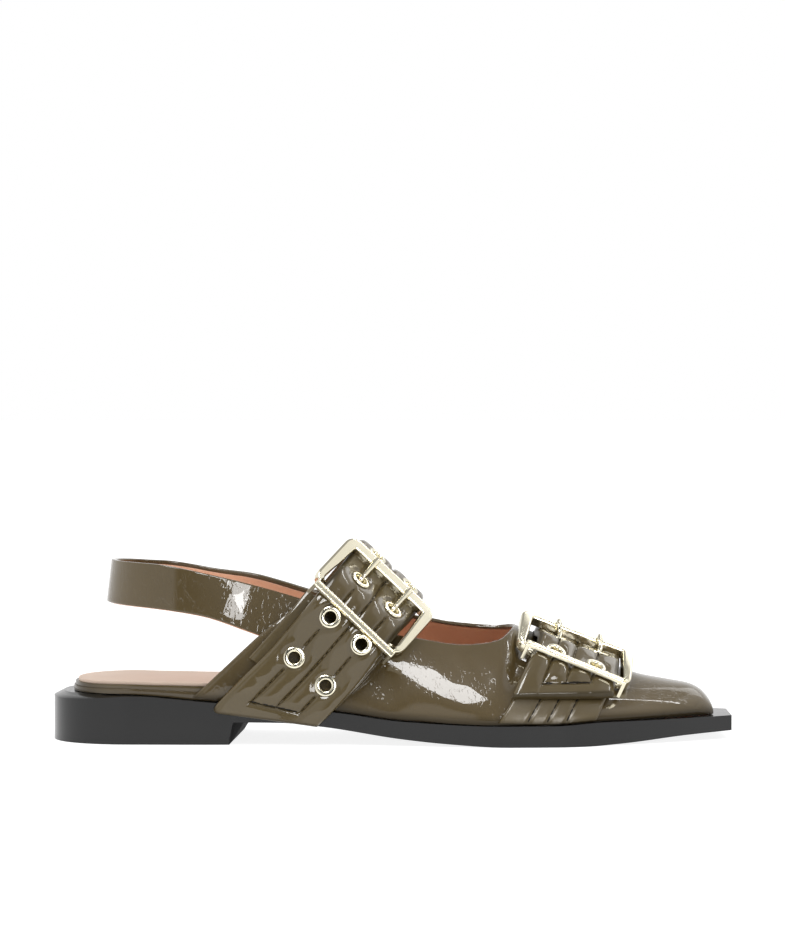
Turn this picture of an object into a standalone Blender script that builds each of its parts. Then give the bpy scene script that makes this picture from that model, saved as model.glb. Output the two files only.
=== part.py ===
"""A right-foot pointed slingback flat with two buckled belts, built from named sizes in millimetres.

+X is the toe, +Y the inner side of the foot, +Z up. The floor is z = 0.
"""
import math

import bpy
import bmesh
import numpy as np
from mathutils import Matrix, Vector

MM = 0.001
GAP = 0.3

# Sizes of the sole
HEEL_BACK = -136.0
TOE_END = 136.0
HEEL_ARC = -101.0
HEEL_HALF = 32.0
ARC_POWER = 2.3

# Half-widths of the sole in front of the heel arc: x, outer side, inner side
SOLE_PLAN = (
    (-101, 32.0, 32.0),
    (-76, 32.5, 31.5),
    (-46, 32.0, 28.5),
    (-16, 34.5, 28.0),
    (14, 40.0, 33.0),
    (42, 44.0, 41.0),
    (64, 43.0, 43.0),
    (89, 34.5, 39.0),
    (114, 22.0, 30.0),
    (136, 8.0, 20.0),
)

# Upper face of the sole: x, height
SOLE_TOP = (
    (-140, 19.4),
    (-110, 19.4),
    (-70, 16.5),
    (-21, 12.6),
    (3, 9.7),
    (41, 8.3),
    (62, 8.3),
    (84, 9.3),
    (140, 9.4),
)

# Under face of the sole in front of the heel breast: x, height
SOLE_UNDER = (
    (-57, 8.8),
    (-44, 8.6),
    (-28, 7.2),
    (3, 2.8),
    (22, 1.1),
    (46, 0.0),
    (76, 0.0),
    (90, 0.6),
    (118, 2.7),
    (140, 3.5),
)
BREAST_FOOT = -64.0
BREAST_TURN = 0.06

# The last, in sections that lean forward: place on the feather, lean, crest height, ledge outside and inside,
# middle of the crest, fullness of the sides, forward bow of the section
UPPER_TIP = 129.3
LAST = (
    (-110, 0.87, 98, 1.0, 1.0, 0.0, 0.10, 1.5),
    (-67, 0.87, 76.7, 1.0, 1.0, 1.0, 0.10, 1.5),
    (-44, 0.87, 64.3, 1.0, 1.0, 2.0, 0.0, 1.5),
    (-21, 0.87, 52.5, 1.0, 1.0, 3.0, -0.10, 1.5),
    (10, 0.63, 48, 1.0, 1.0, 3.0, -0.05, 1.0),
    (30, 0.51, 45.3, 1.0, 1.0, 3.0, -0.10, 0.0),
    (45, 0.43, 41, 1.0, 1.0, 3.0, -0.46, 0.0),
    (60, 0.404, 36, 1.0, 1.0, 3.5, -0.66, 0.0),
    (83, 0.39, 28.3, 1.4, 1.2, 4.5, -0.58, 0.0),
    (95, 0.31, 25, 2.2, 2.0, 5.5, -0.28, 0.0),
    (110, 0.18, 21.8, 3.6, 3.2, 6.0, 0.0, 0.0),
    (118, 0.10, 19.8, 4.6, 4.2, 6.0, 0.1, 0.0),
    (123, 0.06, 17.5, 5.2, 4.8, 6.0, 0.15, 0.0),
    (126.5, 0.02, 14.6, 5.8, 5.2, 6.0, 0.15, 0.0),
    (129.3, 0.0, 9.8, 6.2, 5.6, 6.0, 0.15, 0.0),
)

# Edges of the upper: x, height. The rear edge rises from the sole to the top corner of the quarter
REAR_EDGE = ((-77, 18.6), (-52, 42), (-33, 58))
TOPLINE_OUTER = ((-33, 58), (-20, 53), (-5, 45.5), (11, 41.5), (24, 40.5), (37, 40.8), (44, 42))
TOPLINE_INNER = ((-33, 58), (-20, 54.5), (-5, 48.5), (11, 45), (24, 43.6), (37, 43.2), (44, 43.6))
THROAT_PLACE = 30.3
UPPER_WALL = 1.6
UPPER_COLUMNS = 46
UPPER_ROWS = 9

# Slingback, seen from the side: x, lower edge, upper edge
SLING = (
    (-116, 54.0, 72.0),
    (-95, 52.3, 71.2),
    (-76, 49.6, 68.0),
    (-52, 42.5, 63.0),
    (-34, 36.8, 57.7),
    (-26, 34.0, 55.0),
)
SLING_FRONT = -26.0
SLING_TURN = -84.0
SLING_DEEP = 29.0
SLING_LEAN = 2.0
SLING_HALF = 29.0
SLING_SIDE = 0.55
SLING_THICK = 2.0

# Belts: ends of the width on the feather, the width itself, and the line on which the tail is cut
INSTEP_WIDTH = (-67.8, -23.2)
INSTEP_WIDE = 36.0
INSTEP_TAIL = ((-69, 11.2), (-27, 7.2))
INSTEP_CORNER = 5.0
TOE_WIDTH = (42.2, 83.2)
TOE_WIDE = 36.4
TOE_TAIL = ((49, 19.5), (87, 19.5))
TOE_CORNER = 1.0
BELT = 2.4
BASE = 1.4
BASE_LIFT = 0.6
BELT_ON_BASE = BASE_LIFT + BASE + GAP
SIDE_LIFT = 0.6
FOOT_ANGLE = 0.012
BELT_ROWS = 40

# The instep tail widens to the rear near its end, and the buckle strap under it shows behind its edge
INSTEP_FLARE = -2.6
BASE_BEHIND = -5.2
BASE_END = -50.0

# Buckles: how far from the crest the far bar lies, how high the far and the near bar stand off the last, how
# far the buckle lies in front of the belt's middle, and its turn on the belt and tip to the front in degrees
INSTEP_FAR = -14.4
INSTEP_LIFTS = (6.0, 7.2)
INSTEP_SHIFT = 0.6
INSTEP_TURN = 3.5
INSTEP_ROLL = -1.6
TOE_FAR = -2.6
TOE_LIFTS = (6.4, 5.2)
TOE_SHIFT = -1.1
TOE_TURN = -4.5
TOE_ROLL = -0.6

# Where the eyelets with the prongs lie from the middle of the buckle, the distance between rows, the turn of
# a row in degrees, and between which places the belt drops from over the near bar to under the far one
INSTEP_ROWS = (0.0, 19.8, 2.5)
INSTEP_DROP = (-9.0, 7.0)
TOE_ROWS = (3.5, 16.5, 0.0)
TOE_DROP = (-4.5, 8.5)
FRAME_WIDE = 46.5
FRAME_LONG = 29.0
RAIL = 3.0
BAR = 3.8
FRAME_DEEP = 3.2
HINGE_DROP = 1.2
STATION = (FRAME_LONG - BAR) / 2
KEEPER_PLACE = -FRAME_LONG / 2 - 2.2
KEEPER_WIDE = 3.0
KEEPER_DEEP = 1.4
KEEPER_DROP = 6.0
KEEPER_LIFT = 2.0
KEEPER_ROOM = 1.5
PRONG_RADIUS = 1.0
EYELET_RADIUS = 4.35
EYELET_HOLE = 2.35
EYELET_STEPS = 12
EYELET_GAP = 0.75
BELT_HOLE = 3.0
COLUMN = 8.8
METAL = ((0.78, 0.72, 0.52), 0.2, 1.0)

COLLECTION = "buckle_ballet_flat"


def column(table, index):
    """One named column of a table as an array."""
    return np.array([row[index] for row in table], float)


def smooth(xs, ys, x):
    """A monotone cubic through the points, straight beyond the ends."""
    xs = np.asarray(xs, float)
    ys = np.asarray(ys, float)
    x = np.asarray(x, float)
    step = np.diff(xs)
    slope = np.diff(ys) / step
    tangent = np.empty_like(ys)
    tangent[0] = slope[0]
    tangent[-1] = slope[-1]
    for k in range(1, len(xs) - 1):
        before, after = slope[k - 1], slope[k]
        tangent[k] = 0.0
        if before * after > 0:
            w1 = 2 * step[k] + step[k - 1]
            w2 = step[k] + 2 * step[k - 1]
            tangent[k] = (w1 + w2) / (w1 / before + w2 / after)
    k = np.clip(np.searchsorted(xs, x) - 1, 0, len(xs) - 2)
    t = np.clip((x - xs[k]) / step[k], 0, 1)
    value = (2 * t**3 - 3 * t**2 + 1) * ys[k] + (t**3 - 2 * t**2 + t) * step[k] * tangent[k]
    value = value + (3 * t**2 - 2 * t**3) * ys[k + 1] + (t**3 - t**2) * step[k] * tangent[k + 1]
    value = value + np.minimum(x - xs[0], 0) * tangent[0]
    return value + np.maximum(x - xs[-1], 0) * tangent[-1]


def ramp(low, high, x):
    """A soft step from 0 at low to 1 at high."""
    t = np.clip((np.asarray(x, float) - low) / (high - low), 0, 1)
    return t * t * (3 - 2 * t)


def heel_arc(x, back, half):
    """Half-width of a rounded heel that starts at back and is full at the end of the arc."""
    t = np.clip((HEEL_ARC - x) / (HEEL_ARC - back), 0, 1)
    return half * (1 - t**ARC_POWER) ** (1 / ARC_POWER)


def sole_half(x, side):
    """Half-width of the sole at x; side 1 is the outer side, 2 the inner one."""
    x = np.asarray(x, float)
    front = smooth(column(SOLE_PLAN, 0), column(SOLE_PLAN, side), x)
    return np.where(x < HEEL_ARC, heel_arc(x, HEEL_BACK, HEEL_HALF), front)


def sole_top(x):
    return smooth(column(SOLE_TOP, 0), column(SOLE_TOP, 1), x)


def last_value(u, index):
    """A column of the last at the place u, worked out over the root of the distance from the toe."""
    place = -np.sqrt(np.maximum(UPPER_TIP - column(LAST, 0), 0))
    at = -np.sqrt(np.maximum(UPPER_TIP - np.asarray(u, float), 0))
    return smooth(place, column(LAST, index), at)


def last_point(u, a, offset=0.0):
    """A point of the last: u is the place on the feather, a runs from 0 outside over the crest to pi inside."""
    u, a = np.broadcast_arrays(np.asarray(u, float), np.asarray(a, float))
    spot = last_bare(u, a)
    if np.all(np.asarray(offset) == 0):
        return spot
    return spot + last_normal(u, a) * np.asarray(offset, float)[..., None]


def last_bare(u, a):
    foot = sole_top(u) + GAP
    lean, crest, middle, full = (last_value(u, k) for k in (1, 2, 5, 6))
    outer = sole_half(u, 1) - last_value(u, 3)
    inner = sole_half(u, 2) - last_value(u, 4)
    inside = np.clip(a, 0, math.pi)
    rise = np.sin(inside) + np.minimum(a, 0) - np.maximum(a - math.pi, 0)
    across = np.cos(inside) * (1 + full * np.sin(inside) ** 2)
    reach = np.where(across > 0, outer + middle, inner - middle)
    z = foot + (crest - foot) * rise
    x = u + lean * (z - foot) + last_value(u, 7) * 4 * rise * (1 - rise)
    return np.stack([x, middle - reach * across, z], -1)


def last_normal(u, a):
    step_u, step_a = 0.05, 0.002
    along = last_bare(u + step_u, a) - last_bare(u - step_u, a)
    over = last_bare(u, a + step_a) - last_bare(u, a - step_a)
    normal = np.cross(along, over)
    return normal / np.linalg.norm(normal, axis=-1, keepdims=True)


def locate(x, z, outer=True):
    """The place and angle on the last of a point seen from the side."""
    u = x
    for _ in range(40):
        foot = float(sole_top(u)) + GAP
        rise = min((z - foot) / (float(last_value(u, 2)) - foot), 1.0)
        u = x - float(last_value(u, 1)) * (z - foot) - float(last_value(u, 7)) * 4 * rise * (1 - rise)
    a = math.asin(rise) if rise > 0 else rise
    return u, a if outer else math.pi - a


def remove_start_objects():
    for thing in list(bpy.data.objects):
        bpy.data.objects.remove(thing, do_unlink=True)


def collection(name, hidden=False):
    group = bpy.data.collections.new(name)
    bpy.context.scene.collection.children.link(group)
    group.hide_render = hidden
    return group


def material(name, colour, roughness, metallic=0.0):
    made = bpy.data.materials.new(name)
    made.use_nodes = True
    shader = made.node_tree.nodes["Principled BSDF"]
    shader.inputs["Base Color"].default_value = (*colour, 1.0)
    shader.inputs["Roughness"].default_value = roughness
    shader.inputs["Metallic"].default_value = metallic
    return made


def claim(thing, name, group, look=None):
    """Name an object, put it in one collection and give it a material of its own."""
    thing.name = name
    thing.data.name = name
    for old in list(thing.users_collection):
        old.objects.unlink(thing)
    group.objects.link(thing)
    if look is not None:
        thing.data.materials.clear()
        thing.data.materials.append(material(name + "_finish", *look))
    return thing


def settle(thing):
    """Apply every modifier of an object."""
    bpy.ops.object.select_all(action="DESELECT")
    thing.select_set(True)
    bpy.context.view_layer.objects.active = thing
    for step in list(thing.modifiers):
        bpy.ops.object.modifier_apply(modifier=step.name)
    return thing


def cutter(thing):
    claim(thing, "cutter", CUTTERS)
    thing.display_type = "WIRE"
    thing.hide_render = True
    return thing


def combine(thing, other, operation):
    step = thing.modifiers.new(operation.lower(), "BOOLEAN")
    step.operation = operation
    step.solver = "EXACT"
    step.object = other
    settle(thing)
    bpy.data.objects.remove(other, do_unlink=True)
    return thing


def shaped_grid(columns, rows, shape):
    """A grid whose points are placed by shape(s, t), both from 0 to 1."""
    bpy.ops.mesh.primitive_grid_add(x_subdivisions=columns, y_subdivisions=rows, size=1)
    thing = bpy.context.object
    count = len(thing.data.vertices)
    flat = np.empty(count * 3)
    thing.data.vertices.foreach_get("co", flat)
    flat = flat.reshape(-1, 3)
    spots = shape(flat[:, 0] + 0.5, flat[:, 1] + 0.5)
    thing.data.vertices.foreach_set("co", (spots * MM).ravel())
    thing.data.update()
    return thing


def thicken(thing, thickness, direction):
    step = thing.modifiers.new("wall", "SOLIDIFY")
    step.thickness = thickness * MM
    step.offset = direction
    step.use_even_offset = True
    return settle(thing)


def prism(points, depth, axis):
    """A flat outline given a depth: along z from a plan, or along y from a side view."""
    mesh = bpy.data.meshes.new("prism")
    if axis == "z":
        spots = [(x * MM, y * MM, 0.0) for x, y in points]
    else:
        spots = [(x * MM, 0.0, z * MM) for x, z in points]
    mesh.from_pydata(spots, [], [tuple(range(len(spots)))])
    thing = bpy.data.objects.new("prism", mesh)
    bpy.context.scene.collection.objects.link(thing)
    step = thing.modifiers.new("depth", "SOLIDIFY")
    step.thickness = depth * MM
    step.offset = 0.0
    settle(thing)
    return face_out(thing)


def face_out(thing):
    work = bmesh.new()
    work.from_mesh(thing.data)
    bmesh.ops.recalc_face_normals(work, faces=work.faces)
    work.to_mesh(thing.data)
    work.free()
    return thing


def outline(back, half_outer, half_inner, xs):
    """A closed plan from the heel's back round the toe."""
    outer = [(float(x), -float(half_outer(x))) for x in xs]
    inner = [(float(x), float(half_inner(x))) for x in reversed(xs)]
    return [(back, 0.0)] + outer + inner


def heel_steps(back, count):
    """Places along a heel arc, close together where it turns."""
    angles = np.linspace(0, math.pi / 2, count + 1)[1:]
    return list(HEEL_ARC - (HEEL_ARC - back) * np.cos(angles))


def slab(name, plan, top, under, look, spots):
    """A piece with a plan outline, cut by its own side view."""
    block = prism(plan, 120.0, "z")
    view = [(x, float(under(x))) for x in spots] + [(x, float(top(x))) for x in reversed(spots)]
    side = cutter(prism(view, 160.0, "y"))
    combine(block, side, "INTERSECT")
    return claim(block, name, PARTS, look)


def make_outsole():
    front = list(np.linspace(HEEL_ARC, TOE_END, 30)[1:])
    xs = heel_steps(HEEL_BACK, 12) + front
    plan = outline(HEEL_BACK, lambda x: sole_half(x, 1), lambda x: sole_half(x, 2), xs)
    block = prism(plan, 120.0, "z")
    spots = list(np.linspace(-57, 46, 16)) + list(np.linspace(76, 140, 9))
    under = [(x, float(smooth(column(SOLE_UNDER, 0), column(SOLE_UNDER, 1), x))) for x in spots]
    over = [(x, float(sole_top(x))) for x in np.linspace(140, -140, 41)]
    side = prism([(-140.0, 0.0), (BREAST_FOOT, 0.0)] + under + over, 160.0, "y")
    for vertex in side.data.vertices:
        if abs(vertex.co.x / MM - BREAST_FOOT) < 0.01 or abs(vertex.co.x / MM + 57) < 0.01:
            vertex.co.x += BREAST_TURN * vertex.co.y
    combine(block, cutter(side), "INTERSECT")
    return claim(block, "outsole", PARTS, ((0.028, 0.028, 0.03), 0.38))


def board_half(x, side, inset):
    x = np.asarray(x, float)
    edge = smooth((-101, -77, 60, 90, 102, 109), (4.0, 3.8, 3.8, 5.4, 7.4, 9.5), x) + inset
    front = smooth(column(SOLE_PLAN, 0), column(SOLE_PLAN, side), x) - edge
    heel = heel_arc(x, -128.0 + 1.3 * inset, HEEL_HALF - 4.0 - inset)
    return np.where(x < HEEL_ARC, heel, front)


def board_top(x):
    return sole_top(x) + GAP + smooth((-140, -80, -30, 20, 140), (3.7, 3.7, 3.2, 2.2, 2.0), x)


def footbed_piece(name, inset, end, base, top, look):
    """A sheet on the sole: its outline lies inset from the board's, and it ends short of the toe."""
    back = -128.0 + 1.3 * inset
    xs = heel_steps(back, 10) + list(np.linspace(HEEL_ARC, end, 26)[1:])
    plan = outline(back, lambda x: board_half(x, 1, inset), lambda x: board_half(x, 2, inset), xs)
    return slab(name, plan, top, base, look, list(np.linspace(-140, 140, 41)))


def make_footbed():
    olive, tan = ((0.16, 0.12, 0.045), 0.2), ((0.72, 0.50, 0.36), 0.6)
    footbed_piece("insole_board", 0.0, 108.0, lambda x: sole_top(x) + GAP, board_top, olive)
    sock = board_top
    footbed_piece("insole", 1.6, 104.0, lambda x: sock(x) + 0.1, lambda x: sock(x) + 1.1, tan)


def edge_path(points):
    """Points of an edge of the upper as root-distance from the toe and angle, spread along the edge."""
    spots = np.array([last_bare(np.array(u), np.array(a)) for u, a in points])
    length = np.concatenate([[0], np.cumsum(np.linalg.norm(np.diff(spots, axis=0), axis=1))])
    length = length / length[-1]
    root = np.sqrt(np.maximum(UPPER_TIP - np.array([u for u, a in points]), 0))
    angle = np.array([a for u, a in points])
    return lambda t: np.stack([smooth(length, root, t), smooth(length, angle, t)], -1)


def upper_edges():
    """The four edges of the upper's sheet: feather, topline and the two rear edges."""
    rear_place = locate(*REAR_EDGE[0])[0]
    along = list(UPPER_TIP - np.linspace(math.sqrt(UPPER_TIP - rear_place), 0.0, 40) ** 2)
    chop = list(np.linspace(0, math.pi, 14)[1:-1])
    feather = [(u, 0.0) for u in along] + [(UPPER_TIP, a) for a in chop]
    feather += [(u, math.pi) for u in reversed(along)]
    outer = [locate(x, z, True) for x, z in TOPLINE_OUTER]
    inner = [locate(x, z, False) for x, z in reversed(TOPLINE_INNER)]
    topline = outer + [(THROAT_PLACE, math.pi / 2)] + inner
    left = [locate(x, z, True) for x, z in REAR_EDGE]
    right = [locate(x, z, False) for x, z in REAR_EDGE]
    return [edge_path(points) for points in (feather, topline, left, right)]


def upper_shape(s, t):
    """The sheet of the upper, filled in between its four edges."""
    feather, topline, left, right = upper_edges()
    across = (1 - t)[:, None] * feather(s) + t[:, None] * topline(s)
    ends = (1 - s)[:, None] * left(t) + s[:, None] * right(t)
    zero, one = np.zeros(1), np.ones(1)
    corners = ((1 - s) * (1 - t))[:, None] * feather(zero) + (s * (1 - t))[:, None] * feather(one)
    corners = corners + ((1 - s) * t)[:, None] * topline(zero) + (s * t)[:, None] * topline(one)
    place = across + ends - corners
    return last_bare(UPPER_TIP - np.maximum(place[:, 0], 0) ** 2, place[:, 1])


def make_upper():
    sheet = shaped_grid(UPPER_COLUMNS, UPPER_ROWS, upper_shape)
    thicken(sheet, UPPER_WALL, -1.0)
    # The lower rim is pared flat to the sole all round
    for vertex in sheet.data.vertices:
        floor = (float(sole_top(vertex.co.x / MM)) + GAP) * MM
        vertex.co.z = max(vertex.co.z, floor)
    return claim(sheet, "upper", PARTS, ((0.16, 0.12, 0.045), 0.16))


def unit(vector):
    return vector / np.linalg.norm(vector)


def loop_height(x, top):
    """Height of the slingback's lower or upper edge, seen from the side."""
    return smooth(column(SLING, 0), column(SLING, 2 if top else 1), x)


def sling_shape(s, t):
    """The outer face of the slingback: from the inner quarter round the heel to the outer one."""
    spots = []
    for way, height in zip(s, t):
        outer = way > 0.5
        half = 1 - abs(2 * way - 1)
        side = -1.0 if outer else 1.0
        if half < SLING_SIDE:
            x = SLING_FRONT + (SLING_TURN - SLING_FRONT) * half / SLING_SIDE
            y = SLING_HALF
        else:
            turn = (half - SLING_SIDE) / (1 - SLING_SIDE) * math.pi / 2
            x = SLING_TURN - (SLING_DEEP + SLING_LEAN * (1 - height)) * math.sin(turn)
            y = SLING_HALF * math.cos(turn)
        z = float(loop_height(x, False) * (1 - height) + loop_height(x, True) * height)
        free = np.array([x, side * y, z])
        u, a = locate(max(x, -80.0), z, outer)
        held = last_point(u, a, -UPPER_WALL - GAP)
        spots.append(held + (free - held) * float(ramp(-54.0, -80.0, x)))
    return np.array(spots)


def make_slingback():
    band = shaped_grid(56, 2, sling_shape)
    thicken(band, SLING_THICK, -1.0)
    return claim(band, "slingback_strap", PARTS, ((0.16, 0.12, 0.045), 0.16))


class Belt:
    """A belt across the last with its buckle.

    u is the place of a line parallel to the belt's edges, and reach the distance along that line from the crest of
    the last, negative towards the outer side of the foot.
    """

    def __init__(self, width, wide, tail, corner, far_reach, lifts, shift, turn, roll, rows, drop, flare=0.0):
        self.width = width
        self.wide = wide
        self.flare = flare
        self.base_width = width
        self.base_end = None
        self.tail = tail
        self.corner = corner
        self.rows = rows
        self.drop = drop
        self.turn = turn
        self.middle = sum(width) / 2
        self.places = np.linspace(width[0] - 8, width[1] + 8, 17)
        self.reaches = np.arange(-125.0, 125.0, 0.5)
        angles = np.linspace(-0.45, math.pi + 0.1, 900)
        self.table = np.array([self.angles_along(u, angles) for u in self.places])
        # The buckle spans from its far bar to its near one
        far = self.stand(self.middle, far_reach, lifts[0])
        reach = far_reach
        near = far
        while np.linalg.norm(far - near) < 2 * STATION:
            reach -= 0.05
            near = self.stand(self.middle, reach, lifts[1])
        self.mid = (far_reach + reach) / 2
        self.centre = (far + near) / 2
        self.along = unit(far - near)
        edges = [self.stand(np.full(2, u), np.array([far_reach, reach]), 4.0).sum(0) for u in width]
        across = edges[1] - edges[0]
        across = unit(across - self.along * np.dot(across, self.along))
        aside = np.dot((edges[0] + edges[1]) / 4 - self.centre, across) + shift
        self.centre = self.centre + across * aside
        # The buckle sits a little askew on its belt
        twist = math.radians(turn)
        self.across = across * math.cos(twist) - self.along * math.sin(twist)
        self.along = self.along * math.cos(twist) + across * math.sin(twist)
        self.out = np.cross(self.across, self.along)
        tip = math.radians(roll)
        self.across = self.across * math.cos(tip) + self.out * math.sin(tip)
        self.out = np.cross(self.across, self.along)
        self.over_near = self.bar_lift(-STATION - BAR / 3, FRAME_DEEP / 2 - HINGE_DROP + GAP)
        self.under_far = self.bar_lift(STATION - BAR / 2, -FRAME_DEEP / 2 - 1.5 * GAP) - BELT

    def angles_along(self, u, angles):
        """The angle on the last at every reach of one line."""
        path = last_point(np.full(len(angles), u), angles, np.full(len(angles), 2.5))
        length = np.concatenate([[0], np.cumsum(np.linalg.norm(np.diff(path, axis=0), axis=1))])
        length = length - np.interp(math.pi / 2, angles, length)
        return np.interp(self.reaches, length, angles)

    def angle(self, u, reach):
        """The angle on the last at a place and a reach."""
        u, reach = np.broadcast_arrays(np.asarray(u, float), np.asarray(reach, float))
        column_at = (u - self.places[0]) / (self.places[1] - self.places[0])
        row_at = (reach - self.reaches[0]) / (self.reaches[1] - self.reaches[0])
        i = np.clip(np.floor(column_at).astype(int), 0, len(self.places) - 2)
        j = np.clip(np.floor(row_at).astype(int), 0, len(self.reaches) - 2)
        p, q = column_at - i, row_at - j
        low = self.table[i, j] * (1 - q) + self.table[i, j + 1] * q
        high = self.table[i + 1, j] * (1 - q) + self.table[i + 1, j + 1] * q
        return low * (1 - p) + high * p

    def stand(self, u, reach, lift):
        """A point a given height above the last."""
        return last_point(u, self.angle(u, reach), np.broadcast_to(lift, np.shape(reach)))

    def place(self, offset):
        """Place of a line parallel to the belt's edges, offset from the belt's middle."""
        return self.middle + offset * (self.width[1] - self.width[0]) / self.wide

    def askew(self, u):
        """How far the turned buckle runs ahead on a line off the belt's middle."""
        offset = (u - self.middle) * self.wide / (self.width[1] - self.width[0])
        return offset * math.sin(math.radians(self.turn))

    def bar_lift(self, station, height):
        """For every line, the lift that brings a point at a station of the buckle to a height of the buckle."""
        a = self.angle(self.places, self.mid + station - self.askew(self.places))
        level = (last_bare(self.places, a) - self.centre) @ self.out
        return (height - level) / (last_normal(self.places, a) @ self.out)

    def lift(self, u, reach):
        """How far the belt's under face stands off the last: over the near bar, then under the far one."""
        near = np.interp(u, self.places, self.over_near)
        far = np.interp(u, self.places, self.under_far)
        r = reach - self.mid + self.askew(u)
        lift = BELT_ON_BASE + (near - BELT_ON_BASE) * ramp(-36.0, -18.0, r)
        lift = lift + (far - lift) * ramp(*self.drop, r)
        return lift + (SIDE_LIFT - lift) * ramp(15.5, 32.0, r)

    def point(self, u, reach, depth=0.0):
        """A point of the belt, depth above its under face."""
        u, reach = np.broadcast_arrays(np.asarray(u, float), np.asarray(reach, float))
        lift = self.lift(u, reach) + depth
        rear = (self.width[1] - u) / (self.width[1] - self.width[0])
        u = u + self.flare * rear * ramp(self.mid - 40.0, self.mid - 64.0, reach)
        return last_point(u, self.angle(u, reach), lift)

    def normal(self, u, reach):
        across = self.point(u + 0.5, reach, BELT) - self.point(u - 0.5, reach, BELT)
        along = self.point(u, reach + 0.5, BELT) - self.point(u, reach - 0.5, BELT)
        return unit(np.cross(across, along))

    def tail_end(self, u):
        """Where the tail ends on one line: cut parallel to the sole, with a round rear corner."""
        reaches = np.linspace(self.mid - 75.0, self.mid - 12.0, 500)
        spots = self.point(np.full(500, u), reaches, BELT / 2)
        (x0, z0), (x1, z1) = self.tail
        line = z0 + (z1 - z0) * (spots[:, 0] - x0) / (x1 - x0)
        inset = (u - self.width[0]) * self.wide / (self.width[1] - self.width[0])
        short = max(self.corner - inset, 0.0)
        line = line + self.corner - math.sqrt(max(self.corner**2 - short**2, 0.0))
        return float(np.interp(0.0, spots[:, 2] - line, reaches))

    def feather(self, u, angle):
        """Reach at which one line meets the sole on the side of the given angle."""
        reaches = self.reaches
        return float(np.interp(angle, self.angle(np.full(len(reaches), u), reaches), reaches))

    def between(self, s, t, width, low, high):
        """Places and reaches of a grid between two ends that depend on the place."""
        u = width[0] + (width[1] - width[0]) * s
        keys = np.unique(np.round(u, 6))
        first = np.interp(u, keys, [low(key) for key in keys])
        last = np.interp(u, keys, [high(key) for key in keys])
        return u, first + (last - first) * t

    def shape(self, s, t):
        foot = lambda place: self.feather(place, math.pi - FOOT_ANGLE)
        u, reach = self.between(s, t, self.width, self.tail_end, foot)
        return self.point(u, reach)

    def row(self, steps, offset):
        """Reach of an eyelet: rows lie a little askew, as the buckle does."""
        reach = self.mid + self.rows[0] + steps * self.rows[1]
        return reach - offset * math.tan(math.radians(self.rows[2]))

    def base_shape(self, s, t):
        """The buckle strap: from the sole, or from where it is sewn to the quarter, up to the hinge bar."""
        foot = lambda place: self.feather(place, FOOT_ANGLE)
        if self.base_end is not None:
            foot = lambda place: max(self.feather(place, FOOT_ANGLE), self.mid + self.base_end)
        top = lambda place: self.mid - STATION - BAR / 2 - 3 * GAP - self.askew(place)
        u, reach = self.between(s, t, self.base_width, foot, top)
        return self.stand(u, reach, BASE_LIFT)

    def matrix(self):
        axes = Matrix((self.across, self.along, self.out)).transposed().to_4x4()
        return Matrix.Translation(Vector(self.centre * MM)) @ axes

    def local(self, x, y, z):
        return self.centre + self.across * x + self.along * y + self.out * z


def box(low, high):
    """A cube primitive at its size and place."""
    bpy.ops.mesh.primitive_cube_add(size=1)
    thing = bpy.context.object
    low, high = np.array(low) * MM, np.array(high) * MM
    place = Matrix.Translation((low + high) / 2) @ Matrix.Diagonal((*(high - low), 1.0))
    thing.data.transform(place)
    return thing


def soften(thing, width, segments=2):
    step = thing.modifiers.new("soft edges", "BEVEL")
    step.width = width * MM
    step.segments = segments
    step.limit_method = "ANGLE"
    step.angle_limit = math.radians(40)
    return settle(thing)


def rounded_rectangle(wide, long, radius, steps=4):
    points = []
    for k, (sx, sy) in enumerate(((1, 1), (-1, 1), (-1, -1), (1, -1))):
        for turn in np.linspace(0, math.pi / 2, steps):
            angle = k * math.pi / 2 + turn
            x = sx * (wide / 2 - radius) + radius * math.cos(angle)
            points.append((x, sy * (long / 2 - radius) + radius * math.sin(angle)))
    return points


def make_frame(belt, name):
    frame = prism(rounded_rectangle(FRAME_WIDE, FRAME_LONG, 3.0), FRAME_DEEP, "z")
    inner_x, inner_y = FRAME_WIDE / 2 - RAIL, FRAME_LONG / 2 - BAR
    combine(frame, cutter(box((-inner_x, -inner_y, -9), (inner_x, inner_y, 9))), "DIFFERENCE")
    top = FRAME_DEEP / 2 - HINGE_DROP
    combine(frame, cutter(box((-inner_x, -FRAME_LONG, top), (inner_x, -inner_y + 1, 9))), "DIFFERENCE")
    soften(frame, 0.7)
    frame.data.transform(belt.matrix())
    return claim(frame, name, PARTS, METAL)


def make_keeper(belt, name):
    low = FRAME_DEEP / 2 - HINGE_DROP + GAP + BELT + KEEPER_LIFT
    half, reach = belt.wide / 2 + KEEPER_ROOM, KEEPER_DEEP
    y0, y1 = KEEPER_PLACE - KEEPER_WIDE / 2, KEEPER_PLACE + KEEPER_WIDE / 2
    bar = box((-half - reach, y0, low), (half + reach, y1, low + KEEPER_DEEP))
    for side in (-1, 1):
        ends = sorted((side * half, side * (half + reach)))
        leg = box((ends[0], y0, low - KEEPER_DROP), (ends[1], y1, low + KEEPER_DEEP / 2))
        combine(bar, cutter(leg), "UNION")
    soften(bar, 0.4, 1)
    bar.data.transform(belt.matrix())
    return claim(bar, name, PARTS, METAL)


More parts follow.
